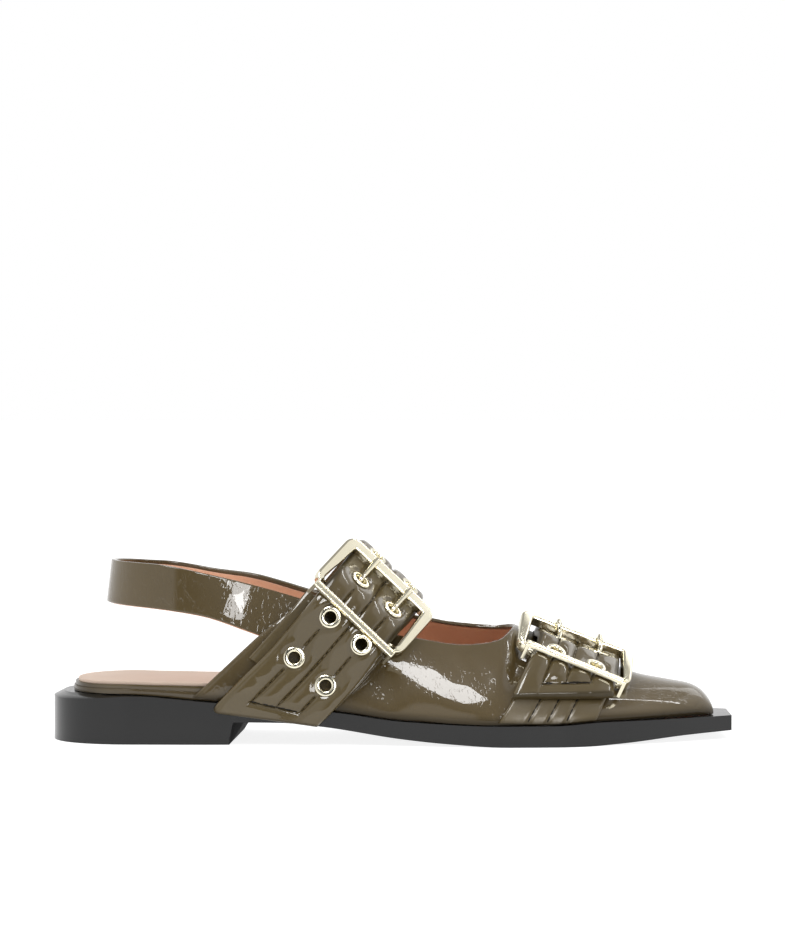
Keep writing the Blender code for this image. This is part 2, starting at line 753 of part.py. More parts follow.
def make_prong(belt, name, offset):
    """A round wire from the hinge bar, under the belt, up through its eyelet and onto the far bar."""
    u = belt.place(offset)
    hole = belt.row(0, offset)
    start = -STATION + BAR / 2 + GAP
    rest = FRAME_DEEP / 2 + GAP + PRONG_RADIUS
    path = [
        belt.local(offset, start, -0.5),
        belt.point(u, hole - 5.0, -1.6),
        belt.point(u, hole - 1.4, -1.0),
        belt.point(u, hole - 0.3, 1.0),
        belt.point(u, hole + 0.2, BELT + 1.4),
        belt.point(u, hole + 2.6, BELT + 3.2),
        belt.local(offset, STATION - BAR / 2 - 0.5, rest + 0.1),
        belt.local(offset, STATION, rest),
        belt.local(offset, STATION + BAR / 2 + 1.2, rest - 0.1),
    ]
    curve = bpy.data.curves.new(name, "CURVE")
    curve.dimensions = "3D"
    curve.resolution_u = 2
    curve.bevel_depth = PRONG_RADIUS * MM
    curve.bevel_resolution = 1
    curve.use_fill_caps = True
    line = curve.splines.new("BEZIER")
    line.bezier_points.add(len(path) - 1)
    for knot, spot in zip(line.bezier_points, path):
        knot.co = Vector(spot * MM)
        knot.handle_left_type = "AUTO"
        knot.handle_right_type = "AUTO"
    wire = bpy.data.objects.new(name, curve)
    bpy.context.scene.collection.objects.link(wire)
    bpy.ops.object.select_all(action="DESELECT")
    wire.select_set(True)
    bpy.context.view_layer.objects.active = wire
    bpy.ops.object.convert(target="MESH")
    made = bpy.context.object
    work = bmesh.new()
    work.from_mesh(made.data)
    bmesh.ops.remove_doubles(work, verts=work.verts, dist=1e-6)
    bmesh.ops.recalc_face_normals(work, faces=work.faces)
    work.to_mesh(made.data)
    work.free()
    return claim(made, name, PARTS, METAL)


def ring_matrix(belt, offset, reach, depth):
    """Where an eyelet sits: its axis stands square on the belt."""
    u = belt.place(offset)
    normal = belt.normal(u, reach)
    spot = belt.point(u, reach, BELT) + normal * depth
    turn = Vector(normal).to_track_quat("Z", "Y").to_matrix().to_4x4()
    return Matrix.Translation(Vector(spot * MM)) @ turn


def make_eyelet(belt, name, offset, reach):
    """A set ring: a rounded flange on the belt and a barrel through it."""
    barrel = EYELET_HOLE + 0.4
    flange = (
        (EYELET_HOLE + 0.2, EYELET_GAP + 0.7),
        (EYELET_HOLE, -BELT + 0.2),
        (barrel, -BELT + 0.2),
        (barrel, EYELET_GAP),
        (EYELET_RADIUS, EYELET_GAP),
        (EYELET_RADIUS - 0.5, EYELET_GAP + 0.7),
    )
    mesh = bpy.data.meshes.new(name)
    count = len(flange)
    mesh.from_pydata([(r * MM, 0, z * MM) for r, z in flange], [(k, (k + 1) % count) for k in range(count)], [])
    ring = bpy.data.objects.new(name, mesh)
    bpy.context.scene.collection.objects.link(ring)
    step = ring.modifiers.new("turn", "SCREW")
    step.steps = EYELET_STEPS
    step.render_steps = EYELET_STEPS
    step.use_merge_vertices = True
    step.merge_threshold = 1e-5
    settle(ring)
    face_out(ring)
    ring.data.transform(ring_matrix(belt, offset, reach, 0.0))
    return claim(ring, name, PARTS, METAL)


def make_belt(belt, name, rows, label):
    strip = shaped_grid(6, BELT_ROWS, belt.shape)
    thicken(strip, BELT, 1.0)
    for row, steps in rows:
        for end, offset in (("rear", -COLUMN), ("front", COLUMN)):
            reach = belt.row(steps, offset)
            bpy.ops.mesh.primitive_cylinder_add(vertices=16, radius=BELT_HOLE * MM, depth=0.012)
            drill = bpy.context.object
            drill.data.transform(ring_matrix(belt, offset, reach, -BELT / 2))
            combine(strip, cutter(drill), "DIFFERENCE")
            make_eyelet(belt, f"{label}_eyelet_{row}_{end}", offset, reach)
    return claim(strip, name, PARTS, ((0.16, 0.12, 0.045), 0.18))


def make_fastening(belt, label, rows):
    """A belt, the short strap under it, the buckle, the keeper and two prongs."""
    base = shaped_grid(6, 10, belt.base_shape)
    thicken(base, BASE, 1.0)
    claim(base, label + "_buckle_strap", PARTS, ((0.16, 0.12, 0.045), 0.18))
    make_belt(belt, label + "_strap", rows, label)
    make_frame(belt, label + "_buckle_frame")
    make_keeper(belt, label + "_keeper")
    make_prong(belt, label + "_prong_rear", -COLUMN)
    make_prong(belt, label + "_prong_front", COLUMN)


remove_start_objects()
PARTS = collection(COLLECTION)
CUTTERS = collection("cutters", hidden=True)
make_outsole()
make_footbed()
make_upper()
make_slingback()
instep = Belt(INSTEP_WIDTH, INSTEP_WIDE, INSTEP_TAIL, INSTEP_CORNER, INSTEP_FAR, INSTEP_LIFTS, INSTEP_SHIFT,
              INSTEP_TURN, INSTEP_ROLL, INSTEP_ROWS, INSTEP_DROP, INSTEP_FLARE)
instep.base_width = (INSTEP_WIDTH[0] + BASE_BEHIND, INSTEP_WIDTH[1])
instep.base_end = BASE_END
toe = Belt(TOE_WIDTH, TOE_WIDE, TOE_TAIL, TOE_CORNER, TOE_FAR, TOE_LIFTS, TOE_SHIFT,
           TOE_TURN, TOE_ROLL, TOE_ROWS, TOE_DROP)
make_fastening(instep, "instep", (("top", 1), ("prong", 0), ("upper", -1), ("lower", -2)))
make_fastening(toe, "toe", (("prong", 0), ("upper", -1)))

# The cutters have done their work
bpy.data.collections.remove(CUTTERS)

# Put the origin under the middle of the box round all pieces
corners = np.array([corner for thing in PARTS.objects for corner in thing.bound_box])
low, high = corners.min(0), corners.max(0)
shift = Matrix.Translation((-(low[0] + high[0]) / 2, -(low[1] + high[1]) / 2, -low[2]))
for thing in PARTS.objects:
    thing.data.transform(shift)
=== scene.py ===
# %% [markdown]
# A right-foot pointed slingback flat with two buckled belts. The solids of the part are loaded as a fixed
# frame, and this script dresses them: every leather, metal and rubber piece is modelled again at the
# finish of the real shoe and stands where its solid stands. Lengths are worked out in millimetres on the
# shoemaker's last, the form that a shoe is built over, and become metres when a mesh is made.

# %% Load the frame
import math

import bpy
import numpy as np
from mathutils import Matrix, Vector


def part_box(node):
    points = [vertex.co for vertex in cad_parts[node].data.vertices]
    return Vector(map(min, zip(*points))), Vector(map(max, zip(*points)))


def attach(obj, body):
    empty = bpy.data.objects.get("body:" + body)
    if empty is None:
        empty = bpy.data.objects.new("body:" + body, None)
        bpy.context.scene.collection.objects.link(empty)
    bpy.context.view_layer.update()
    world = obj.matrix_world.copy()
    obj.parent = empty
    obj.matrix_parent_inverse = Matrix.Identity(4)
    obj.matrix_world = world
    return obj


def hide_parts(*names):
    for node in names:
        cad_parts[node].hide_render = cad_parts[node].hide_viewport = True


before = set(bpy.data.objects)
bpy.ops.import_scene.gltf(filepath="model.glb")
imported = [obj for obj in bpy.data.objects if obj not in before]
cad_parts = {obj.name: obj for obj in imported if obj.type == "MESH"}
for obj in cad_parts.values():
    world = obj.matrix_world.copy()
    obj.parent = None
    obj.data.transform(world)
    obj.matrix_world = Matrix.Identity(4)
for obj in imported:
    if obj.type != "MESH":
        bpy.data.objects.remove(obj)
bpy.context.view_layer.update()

MM = 0.001
print("solids loaded:", len(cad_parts))

# %% [markdown]
# The sole is described by three short tables: its half-widths seen from above, its upper face and its
# under face seen from the side. A smooth curve runs through each column, so the same few numbers give as
# fine a sole as we like.

# %% Sole sizes
GAP = 0.3
HEEL_BACK = -136.0
TOE_END = 136.0
HEEL_ARC = -101.0
HEEL_HALF = 32.0
ARC_POWER = 2.3

# x, outer half-width, inner half-width
SOLE_PLAN = (
    (-101, 32.0, 32.0),
    (-76, 32.5, 31.5),
    (-46, 32.0, 28.5),
    (-16, 34.5, 28.0),
    (14, 40.0, 33.0),
    (42, 44.0, 41.0),
    (64, 43.0, 43.0),
    (89, 34.5, 39.0),
    (114, 22.0, 30.0),
    (136, 8.0, 20.0),
)

# x, height of the upper face
SOLE_TOP = (
    (-140, 19.4),
    (-110, 19.4),
    (-70, 16.5),
    (-21, 12.6),
    (3, 9.7),
    (41, 8.3),
    (62, 8.3),
    (84, 9.3),
    (140, 9.4),
)

# x, height of the under face in front of the heel
SOLE_UNDER = (
    (-57, 8.8),
    (-44, 8.6),
    (-28, 7.2),
    (3, 2.8),
    (22, 1.1),
    (46, 0.0),
    (76, 0.0),
    (90, 0.6),
    (118, 2.7),
    (140, 3.5),
)
print("sole length in mm:", TOE_END - HEEL_BACK)


# %% Curves through the tables
def column(table, index):
    return np.array([row[index] for row in table], float)


def smooth(xs, ys, x):
    """A monotone cubic through the points, straight beyond the ends."""
    xs, ys, x = (np.asarray(v, float) for v in (xs, ys, x))
    step = np.diff(xs)
    slope = np.diff(ys) / step
    tangent = np.zeros_like(ys)
    tangent[0], tangent[-1] = slope[0], slope[-1]
    for k in range(1, len(xs) - 1):
        before, after = slope[k - 1], slope[k]
        if before * after > 0:
            w1 = 2 * step[k] + step[k - 1]
            w2 = step[k] + 2 * step[k - 1]
            tangent[k] = (w1 + w2) / (w1 / before + w2 / after)
    k = np.clip(np.searchsorted(xs, x) - 1, 0, len(xs) - 2)
    t = np.clip((x - xs[k]) / step[k], 0, 1)
    value = (2 * t**3 - 3 * t**2 + 1) * ys[k] + (t**3 - 2 * t**2 + t) * step[k] * tangent[k]
    value = value + (3 * t**2 - 2 * t**3) * ys[k + 1] + (t**3 - t**2) * step[k] * tangent[k + 1]
    value = value + np.minimum(x - xs[0], 0) * tangent[0]
    return value + np.maximum(x - xs[-1], 0) * tangent[-1]


def look_up(table, index, x):
    """A column of a table, smooth between its rows; the first column holds the places."""
    return smooth(column(table, 0), column(table, index), x)


def ramp(low, high, x):
    """A soft step from 0 at low to 1 at high."""
    t = np.clip((np.asarray(x, float) - low) / (high - low), 0, 1)
    return t * t * (3 - 2 * t)


print("widest outer half in mm:", look_up(SOLE_PLAN, 1, np.linspace(HEEL_ARC, TOE_END, 60)).max().round(1))


# %% Outline and heights of the sole
def heel_arc(x, back, half):
    t = np.clip((HEEL_ARC - x) / (HEEL_ARC - back), 0, 1)
    return half * (1 - t**ARC_POWER) ** (1 / ARC_POWER)


def sole_half(x, side):
    """Half-width of the sole; side 1 is the outer side of the foot, 2 the inner one."""
    x = np.asarray(x, float)
    front = look_up(SOLE_PLAN, side, x)
    return np.where(x < HEEL_ARC, heel_arc(x, HEEL_BACK, HEEL_HALF), front)


def sole_top(x):
    return look_up(SOLE_TOP, 1, x)


def sole_under(x):
    return look_up(SOLE_UNDER, 1, x)


# The solids were moved so that their origin lies under the middle of the shoe: this is that move
sole_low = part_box("outsole")[0]
widest = float(sole_half(np.linspace(HEEL_ARC, TOE_END, 400), 1).max())
SHIFT = np.array([sole_low.x - HEEL_BACK * MM, sole_low.y + widest * MM, sole_low.z])
print("move of the frame in mm:", (SHIFT / MM).round(2))

# %% [markdown]
# The last is a stack of sections that lean forward like the belts do. Each row of the table holds one
# section: where it stands on the edge of the sole, how far it leans, how high its crest is, how far it
# keeps inside the sole's edge, where its crest lies sideways, how full its sides are, and how far it
# bows. A point of the leather is then one pair of numbers: the place u of its section, and the angle a
# over the foot, from 0 outside to pi inside.

# %% The last
UPPER_TIP = 129.3

# Columns after the place: lean, crest, outer and inner inset, middle, fullness and bow
LEAN, CREST, OUTER, INNER, MIDDLE, FULL, BOW = range(1, 8)
LAST = (
    (-110, 0.87, 98, 1.0, 1.0, 0.0, 0.10, 1.5),
    (-67, 0.87, 76.7, 1.0, 1.0, 1.0, 0.10, 1.5),
    (-44, 0.87, 64.3, 1.0, 1.0, 2.0, 0.0, 1.5),
    (-21, 0.87, 52.5, 1.0, 1.0, 3.0, -0.10, 1.5),
    (10, 0.63, 48, 1.0, 1.0, 3.0, -0.05, 1.0),
    (30, 0.51, 45.3, 1.0, 1.0, 3.0, -0.10, 0.0),
    (45, 0.43, 41, 1.0, 1.0, 3.0, -0.46, 0.0),
    (60, 0.404, 36, 1.0, 1.0, 3.5, -0.66, 0.0),
    (83, 0.39, 28.3, 1.4, 1.2, 4.5, -0.58, 0.0),
    (95, 0.31, 25, 2.2, 2.0, 5.5, -0.28, 0.0),
    (110, 0.18, 22.6, 3.6, 3.2, 6.0, 0.0, 0.0),
    (118, 0.10, 21.3, 4.6, 4.2, 6.0, 0.1, 0.0),
    (123, 0.06, 19.4, 5.2, 4.8, 6.0, 0.15, 0.0),
    (126.5, 0.02, 16.6, 5.8, 5.2, 6.0, 0.15, 0.0),
    (129.3, 0.0, 9.8, 6.2, 5.6, 6.0, 0.15, 0.0),
)
print("sections of the last:", len(LAST))


# %% Points on the last
def last_value(u, index):
    """A column of the last, worked out over the root of the distance from the toe."""
    place = -np.sqrt(np.maximum(UPPER_TIP - column(LAST, 0), 0))
    at = -np.sqrt(np.maximum(UPPER_TIP - np.asarray(u, float), 0))
    return smooth(place, column(LAST, index), at)


def last_bare(u, a):
    foot = sole_top(u) + GAP
    lean, crest, middle, full = (last_value(u, k) for k in (LEAN, CREST, MIDDLE, FULL))
    outer = sole_half(u, 1) - last_value(u, OUTER)
    inner = sole_half(u, 2) - last_value(u, INNER)
    inside = np.clip(a, 0, math.pi)
    rise = np.sin(inside) + np.minimum(a, 0) - np.maximum(a - math.pi, 0)
    across = np.cos(inside) * (1 + full * np.sin(inside) ** 2)
    reach = np.where(across > 0, outer + middle, inner - middle)
    z = foot + (crest - foot) * rise
    x = u + lean * (z - foot) + last_value(u, BOW) * 4 * rise * (1 - rise)
    return np.stack([x, middle - reach * across, z], -1)


def last_normal(u, a):
    step_u, step_a = 0.05, 0.002
    along = last_bare(u + step_u, a) - last_bare(u - step_u, a)
    over = last_bare(u, a + step_a) - last_bare(u, a - step_a)
    normal = np.cross(along, over)
    return normal / np.linalg.norm(normal, axis=-1, keepdims=True)


def last_point(u, a, offset):
    """A point a given height above the last."""
    u, a = np.broadcast_arrays(np.asarray(u, float), np.asarray(a, float))
    return last_bare(u, a) + last_normal(u, a) * np.asarray(offset, float)[..., None]


def locate(x, z, outer=True):
    """The place and angle on the last of points seen from the side."""
    x, z = np.asarray(x, float), np.asarray(z, float)
    u = x
    for _ in range(40):
        foot = sole_top(u) + GAP
        rise = np.minimum((z - foot) / (last_value(u, CREST) - foot), 1.0)
        u = x - last_value(u, LEAN) * (z - foot) - last_value(u, BOW) * 4 * rise * (1 - rise)
    a = np.where(rise > 0, np.arcsin(np.clip(rise, 0, 1)), rise)
    return u, np.where(outer, a, math.pi - a)


print("crest over the middle of the foot:", last_bare(np.array(-44.0), np.array(math.pi / 2)).round(1))

# %% Helpers that pick and place
def pick(thing):
    if bpy.context.object is not None and bpy.context.object.mode != "OBJECT":
        bpy.ops.object.mode_set(mode="OBJECT")
    bpy.ops.object.select_all(action="DESELECT")
    thing.select_set(True)
    bpy.context.view_layer.objects.active = thing
    return thing


def settle(thing):
    """Apply every modifier."""
    pick(thing)
    for step in list(thing.modifiers):
        bpy.ops.object.modifier_apply(modifier=step.name)
    return thing


def named(name):
    """Name the object that an operator has just added."""
    thing = bpy.context.object
    thing.name = name
    thing.data.name = name
    return thing


def edit_all(thing):
    """Open a piece in edit mode with all of it selected."""
    pick(thing)
    bpy.ops.object.mode_set(mode="EDIT")
    bpy.ops.mesh.select_all(action="SELECT")


def close_edit():
    bpy.ops.object.mode_set(mode="OBJECT")


def spots_of(thing):
    """The corners of a mesh in metres."""
    flat = np.empty(len(thing.data.vertices) * 3)
    thing.data.vertices.foreach_get("co", flat)
    return flat.reshape(-1, 3)


def places_of(thing):
    """The corners of a mesh in mm on the last."""
    return (spots_of(thing) - SHIFT) / MM


def put(thing, spots):
    """Place the corners of a mesh, given in mm on the last."""
    thing.data.vertices.foreach_set("co", (np.asarray(spots) * MM + SHIFT).ravel())
    thing.data.update()
    return thing


def grid(name, columns, rows):
    """A flat grid primitive, and for each corner how far along and across it lies, from 0 to 1."""
    bpy.ops.object.select_all(action="DESELECT")
    bpy.ops.mesh.primitive_grid_add(x_subdivisions=columns, y_subdivisions=rows, size=1)
    thing = named(name)
    place = spots_of(thing)
    return thing, place[:, 0] + 0.5, place[:, 1] + 0.5


# %% Helpers that shape
def thicken(thing, thickness=1.0, direction=-1.0):
    step = thing.modifiers.new("wall", "SOLIDIFY")
    step.thickness = thickness * MM
    step.offset = direction
    return settle(thing)


def bevel(thing, width, segments=3, angle=40):
    step = thing.modifiers.new("soft edges", "BEVEL")
    step.width = width * MM
    step.segments = segments
    step.limit_method = "ANGLE"
    step.angle_limit = math.radians(angle)
    return settle(thing)


def soft_shade(thing, angle=35):
    pick(thing)
    bpy.ops.object.shade_smooth_by_angle(angle=math.radians(angle))
    return thing


def flat_faces(thing, angle=35):
    """Smooth shading in which the large faces keep their own direction beside a bevel."""
    soft_shade(thing, angle)
    step = thing.modifiers.new("flat faces", "WEIGHTED_NORMAL")
    step.keep_sharp = True
    return settle(thing)


def face_out(thing):
    edit_all(thing)
    bpy.ops.mesh.normals_make_consistent(inside=False)
    close_edit()
    return thing


def weld(thing):
    """Merge doubled corners, then turn the faces outwards."""
    edit_all(thing)
    bpy.ops.mesh.remove_doubles(threshold=1e-6)
    return face_out(thing)


def slice_across(thing, spot, way):
    """Cut new edges into a piece where a plane crosses it."""
    edit_all(thing)
    bpy.ops.mesh.bisect(plane_co=spot, plane_no=way)
    close_edit()


def clear_faces(thing):
    """Leave a piece in object mode with none of its faces selected."""
    pick(thing)
    bpy.ops.object.mode_set(mode="EDIT")
    bpy.ops.mesh.select_mode(type="FACE")
    bpy.ops.mesh.select_all(action="DESELECT")
    close_edit()


# How far a direction has to lie along an axis to count as facing that way, and as square to it
FACING = 0.3
SQUARE = 0.9


def choose_faces(thing, rule):
    """Open a piece with those faces selected whose middle, in mm, and direction fit a rule."""
    clear_faces(thing)
    for face in thing.data.polygons:
        face.select = bool(rule(face.center / MM, face.normal))
    bpy.ops.object.mode_set(mode="EDIT")


# %% Helpers that finish
def mark_painted_shade(thing, share):
    """Keep for each corner how much painted shade it gets, from 0 to 1; the patent finish reads it."""
    mark = thing.data.attributes.new("painted_shade", "FLOAT", "POINT")
    mark.data.foreach_set("value", np.asarray(share, np.float32))
    return thing


def foot_share(thing, high):
    """1 where a piece meets the sole, 0 from a given height above it."""
    place = places_of(thing)
    return 1 - ramp(0.3, high, place[:, 2] - sole_top(place[:, 0]) - GAP)


def dress(thing, finish, slot, *nodes):
    """Give a piece its finish, let it ride on the shoe and stand for its solids."""
    if not thing.data.materials:
        thing.data.materials.append(finish)
    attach(thing, "root")
    if nodes:
        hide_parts(*nodes)
    thing.data.calc_loop_triangles()
    print(thing.name, len(thing.data.loop_triangles), "triangles")
    return thing


# %% [markdown]
# Finishes come from a few node groups. The first makes the fine crinkle of patent leather: sparse short
# strokes in a stretched noise and a slow swell, which break up the edge of every reflection. The second
# gives a slow drift of colour, so that no surface is one flat tone. Both put out plain values, and the
# shader itself stays in each material.

# %% Node groups
def new_group(name, inputs, outputs):
    group = bpy.data.node_groups.new(name, "ShaderNodeTree")
    for label, kind, value in inputs:
        socket = group.interface.new_socket(name=label, in_out="INPUT", socket_type=kind)
        socket.default_value = value
    for label, kind in outputs:
        group.interface.new_socket(name=label, in_out="OUTPUT", socket_type=kind)
    return group, group.nodes.new("NodeGroupInput"), group.nodes.new("NodeGroupOutput")


def add(tree, kind, links=(), **values):
    """Add a node, set its values by property or socket name, and link sockets into it."""
    node = tree.nodes.new(kind)
    for name, value in values.items():
        label = name.replace("_", " ").title()
        if hasattr(node, name):
            setattr(node, name, value)
        else:
            node.inputs[label].default_value = value
    for target, source in links:
        tree.links.new(source, node.inputs[target])
    return node


def feed(tree, socket, value):
    """Set a socket to a number or colour, or link another socket into it."""
    if isinstance(value, (int, float, tuple)):
        socket.default_value = value
    else:
        tree.links.new(value, socket)


def math_node(tree, operation, *values):
    node = tree.nodes.new("ShaderNodeMath")
    node.operation = operation
    for socket, value in zip(node.inputs, values):
        feed(tree, socket, value)
    return node.outputs[0]


def map_range(tree, value, start, end, low=0.0, high=1.0, soft=True):
    """Turn start to end into low to high, softly or in a straight line."""
    node = tree.nodes.new("ShaderNodeMapRange")
    node.interpolation_type = "SMOOTHSTEP" if soft else "LINEAR"
    labels = ("Value", "From Min", "From Max", "To Min", "To Max")
    for label, given in zip(labels, (value, start, end, low, high)):
        feed(tree, node.inputs[label], given)
    return node.outputs[0]


def mix_colours(tree, factor, first, second):
    node = tree.nodes.new("ShaderNodeMix")
    node.data_type = "RGBA"
    for label, value in (("Factor", factor), ("A", first), ("B", second)):
        feed(tree, node.inputs[label], value)
    return node.outputs["Result"]


# %% Crinkle and drift
STROKE_TURN = 0.6
STROKE_STRETCH = 0.42
STROKE_FADE = 0.14
SWELL_SCALE = 0.16
SWELL = 0.7
DRIFT_RANGE = (0.3, 0.7)


def make_crinkle():
    group, given, out = new_group(
        "crinkle",
        [("Vector", "NodeSocketVector", (0, 0, 0)), ("Scale", "NodeSocketFloat", 420.0),
         ("Sparse", "NodeSocketFloat", 0.53)],
        [("Height", "NodeSocketFloat")],
    )
    stretch = group.nodes.new("ShaderNodeMapping")
    stretch.inputs["Rotation"].default_value = (0.0, STROKE_TURN, 0.0)
    stretch.inputs["Scale"].default_value = (1.0, 1.0, STROKE_STRETCH)
    vector, scale, sparse = (given.outputs[label] for label in ("Vector", "Scale", "Sparse"))
    group.links.new(vector, stretch.inputs["Vector"])
    links = [("Vector", stretch.outputs[0]), ("Scale", scale)]
    strokes = add(group, "ShaderNodeTexNoise", links, detail=2.0, roughness=0.5, distortion=0.8)
    ends = math_node(group, "ADD", sparse, STROKE_FADE)
    deep = map_range(group, strokes.outputs[0], sparse, ends, 1.0, 0.0)
    links = [("Vector", vector), ("Scale", math_node(group, "MULTIPLY", scale, SWELL_SCALE))]
    slow = add(group, "ShaderNodeTexNoise", links, detail=1.0, roughness=0.5)
    swell = math_node(group, "MULTIPLY", slow.outputs[0], SWELL)
    group.links.new(math_node(group, "ADD", swell, deep), out.inputs["Height"])
    return group


def make_drift():
    group, given, out = new_group(
        "drift",
        [("Vector", "NodeSocketVector", (0, 0, 0)), ("Scale", "NodeSocketFloat", 30.0),
         ("Dark", "NodeSocketColor", (0, 0, 0, 1)), ("Light", "NodeSocketColor", (1, 1, 1, 1))],
        [("Colour", "NodeSocketColor"), ("Value", "NodeSocketFloat")],
    )
    links = [("Vector", given.outputs["Vector"]), ("Scale", given.outputs["Scale"])]
    noise = add(group, "ShaderNodeTexNoise", links, detail=4.0, roughness=0.6)
    spread = map_range(group, noise.outputs[0], *DRIFT_RANGE, soft=False)
    colour = mix_colours(group, spread, given.outputs["Dark"], given.outputs["Light"])
    group.links.new(colour, out.inputs["Colour"])
    group.links.new(spread, out.inputs["Value"])
    return group


CRINKLE = make_crinkle()
DRIFT = make_drift()
print("node groups:", CRINKLE.name, DRIFT.name)

# %% [markdown]
# Every finish is one Principled shader. Patent leather is a coloured base under a clear glossy coat, so
# the coat carries the sharp reflections and the base only the colour. The plating is a metal with a faint
# haze, the sole a satin black rubber with a matt tread, and the linings are matt leathers with grain. A
# leather piece can carry a mark of painted shade: where it is 1, the base is darker and the coat weaker.
# It paints the dark shade in corners and along the foot of the upper.

# %% Finishes
# Painted shade: the shaded tone as a share of the dark tone, how far it is mixed in, and how much coat it
# takes away
PAINTED_SHADE_COLOUR = 0.2
PAINTED_SHADE_SHARE = 0.75
PAINTED_SHADE_COAT = 0.85


def place_group(tree, group, vector, **values):
    node = tree.nodes.new("ShaderNodeGroup")
    node.node_tree = group
    tree.links.new(vector, node.inputs["Vector"])
    for label, value in values.items():
        node.inputs[label].default_value = value
    return node


def finish(name, dark, light, roughness, bump=0.0, crinkle_scale=420.0, drift_scale=30.0, metallic=0.0,
           coat=0.0, coat_roughness=0.03, rough_drift=0.0, specular=0.5, calm=None):
    """A finish between two tones; calm holds two heights and the share of the bump at each."""
    made = bpy.data.materials.new(name)
    made.use_nodes = True
    tree = made.node_tree
    shader = tree.nodes["Principled BSDF"]
    shader.inputs["Metallic"].default_value = metallic
    shader.inputs["Coat Weight"].default_value = coat
    shader.inputs["Coat Roughness"].default_value = coat_roughness
    shader.inputs["Specular IOR Level"].default_value = specular
    where = tree.nodes.new("ShaderNodeTexCoord").outputs["Object"]
    drift = place_group(tree, DRIFT, where, Scale=drift_scale, Dark=(*dark, 1.0), Light=(*light, 1.0))
    colour = drift.outputs["Colour"]
    if coat > 0:
        # Painted shade: where the mark is 1 the base turns darker and the coat weaker
        painted_shade = add(tree, "ShaderNodeAttribute", attribute_name="painted_shade").outputs["Fac"]
        shade_colour = (*(PAINTED_SHADE_COLOUR * part for part in dark), 1.0)
        colour = mix_colours(tree, math_node(tree, "MULTIPLY", painted_shade, PAINTED_SHADE_SHARE), colour, shade_colour)
        shine = math_node(tree, "MULTIPLY_ADD", painted_shade, -PAINTED_SHADE_COAT * coat, coat)
        tree.links.new(shine, shader.inputs["Coat Weight"])
    tree.links.new(colour, shader.inputs["Base Color"])
    shader.inputs["Roughness"].default_value = roughness
    if rough_drift > 0:
        rough = math_node(tree, "MULTIPLY_ADD", drift.outputs["Value"], rough_drift, roughness)
        tree.links.new(rough, shader.inputs["Roughness"])
    if bump > 0:
        height = place_group(tree, CRINKLE, where, Scale=crinkle_scale).outputs["Height"]
        if calm is not None:
            apart = tree.nodes.new("ShaderNodeSeparateXYZ")
            tree.links.new(where, apart.inputs[0])
            fade = map_range(tree, apart.outputs["Z"], *calm, soft=False)
            height = math_node(tree, "MULTIPLY", height, fade)
        push = tree.nodes.new("ShaderNodeBump")
        push.inputs["Strength"].default_value = 1.0
        push.inputs["Distance"].default_value = bump * MM
        tree.links.new(height, push.inputs["Height"])
        tree.links.new(push.outputs["Normal"], shader.inputs["Normal"])
        if coat > 0:
            tree.links.new(push.outputs["Normal"], shader.inputs["Coat Normal"])
    return made


# %% The finishes of this shoe
BELT_TONES = ((0.088, 0.062, 0.021), (0.105, 0.075, 0.028))
patent = finish("olive_patent", (0.087, 0.059, 0.0195), (0.102, 0.070, 0.0255), 0.42, bump=0.022,
                crinkle_scale=600.0, coat=1.0, coat_roughness=0.015, rough_drift=0.06, specular=0.15,
                calm=(0.010, 0.022, 0.35, 1.0))
smooth_patent = finish("olive_patent_smooth", *BELT_TONES, 0.42, bump=0.012, crinkle_scale=300.0, coat=1.0,
                       coat_roughness=0.06, rough_drift=0.06, specular=0.15)
soft_patent = finish("olive_patent_soft", *BELT_TONES, 0.42, bump=0.012, crinkle_scale=300.0, coat=0.8,
                     coat_roughness=0.30, rough_drift=0.06, specular=0.15)
tan_lining = finish("tan_lining", (0.84, 0.45, 0.28), (0.92, 0.53, 0.35), 0.55, bump=0.03,
                    crinkle_scale=900.0, rough_drift=0.1)
sock_leather = finish("sock_leather", (0.61, 0.46, 0.36), (0.68, 0.53, 0.43), 0.5, bump=0.02,
                      crinkle_scale=1100.0, rough_drift=0.1)
plating = finish("pale_gold_plating", (0.79, 0.735, 0.56), (0.87, 0.82, 0.66), 0.12, drift_scale=60.0,
                 metallic=1.0, rough_drift=0.06)
# A darker copy of the plating: painted shade for the recessed panel of the instep keeper
shaded_plating = finish("pale_gold_panel_painted_shade", (0.34, 0.32, 0.25), (0.46, 0.43, 0.34), 0.22, drift_scale=90.0,
                     metallic=1.0, rough_drift=0.06)
black_rubber = finish("black_rubber", (0.0035, 0.0035, 0.0035), (0.006, 0.006, 0.0062), 0.16, bump=0.003,
                      crinkle_scale=1500.0, rough_drift=0.05, specular=0.45)
tread_rubber = finish("black_rubber_tread", (0.004, 0.004, 0.004), (0.008, 0.008, 0.008), 0.7, bump=0.03,
                      crinkle_scale=900.0, rough_drift=0.1, specular=0.12)
thread = finish("dark_thread", (0.010, 0.007, 0.003), (0.018, 0.013, 0.006), 0.7, bump=0.02,
                crinkle_scale=2500.0, specular=0.2)
print("finishes made:", len(bpy.data.materials))

# %% [markdown]
# The sole is one moulded unit with its heel. A circle primitive takes the outline seen from above and is
# thickened to a tall block, and a second block with the side view is intersected with it, as a bandsaw
# would cut it twice. The heel's front, the breast, leans forward, and near the outer side it is pulled
# back to a slanted corner. The rim round the heel slopes down a little at the back. A small bevel then
# takes the sharpness off every edge, which is what catches the light, and the faces that look down or lie
# in the breast get the matt tread. The unit could be lofted through cross sections too, but two cuts keep
# both outlines exact and their edges crisp.

# %% Outsole
def prism(name, outline, depth, axis):
    """A filled circle laid on an outline and thickened: a plan along z, a side view along y."""
    bpy.ops.object.select_all(action="DESELECT")
    bpy.ops.mesh.primitive_circle_add(vertices=len(outline), fill_type="NGON")
    thing = named(name)
    flat = np.zeros((len(outline), 3))
    flat[:, 0] = [p[0] for p in outline]
    flat[:, 1 if axis == "z" else 2] = [p[1] for p in outline]
    put(thing, flat)
    return face_out(thicken(thing, depth, 0.0))


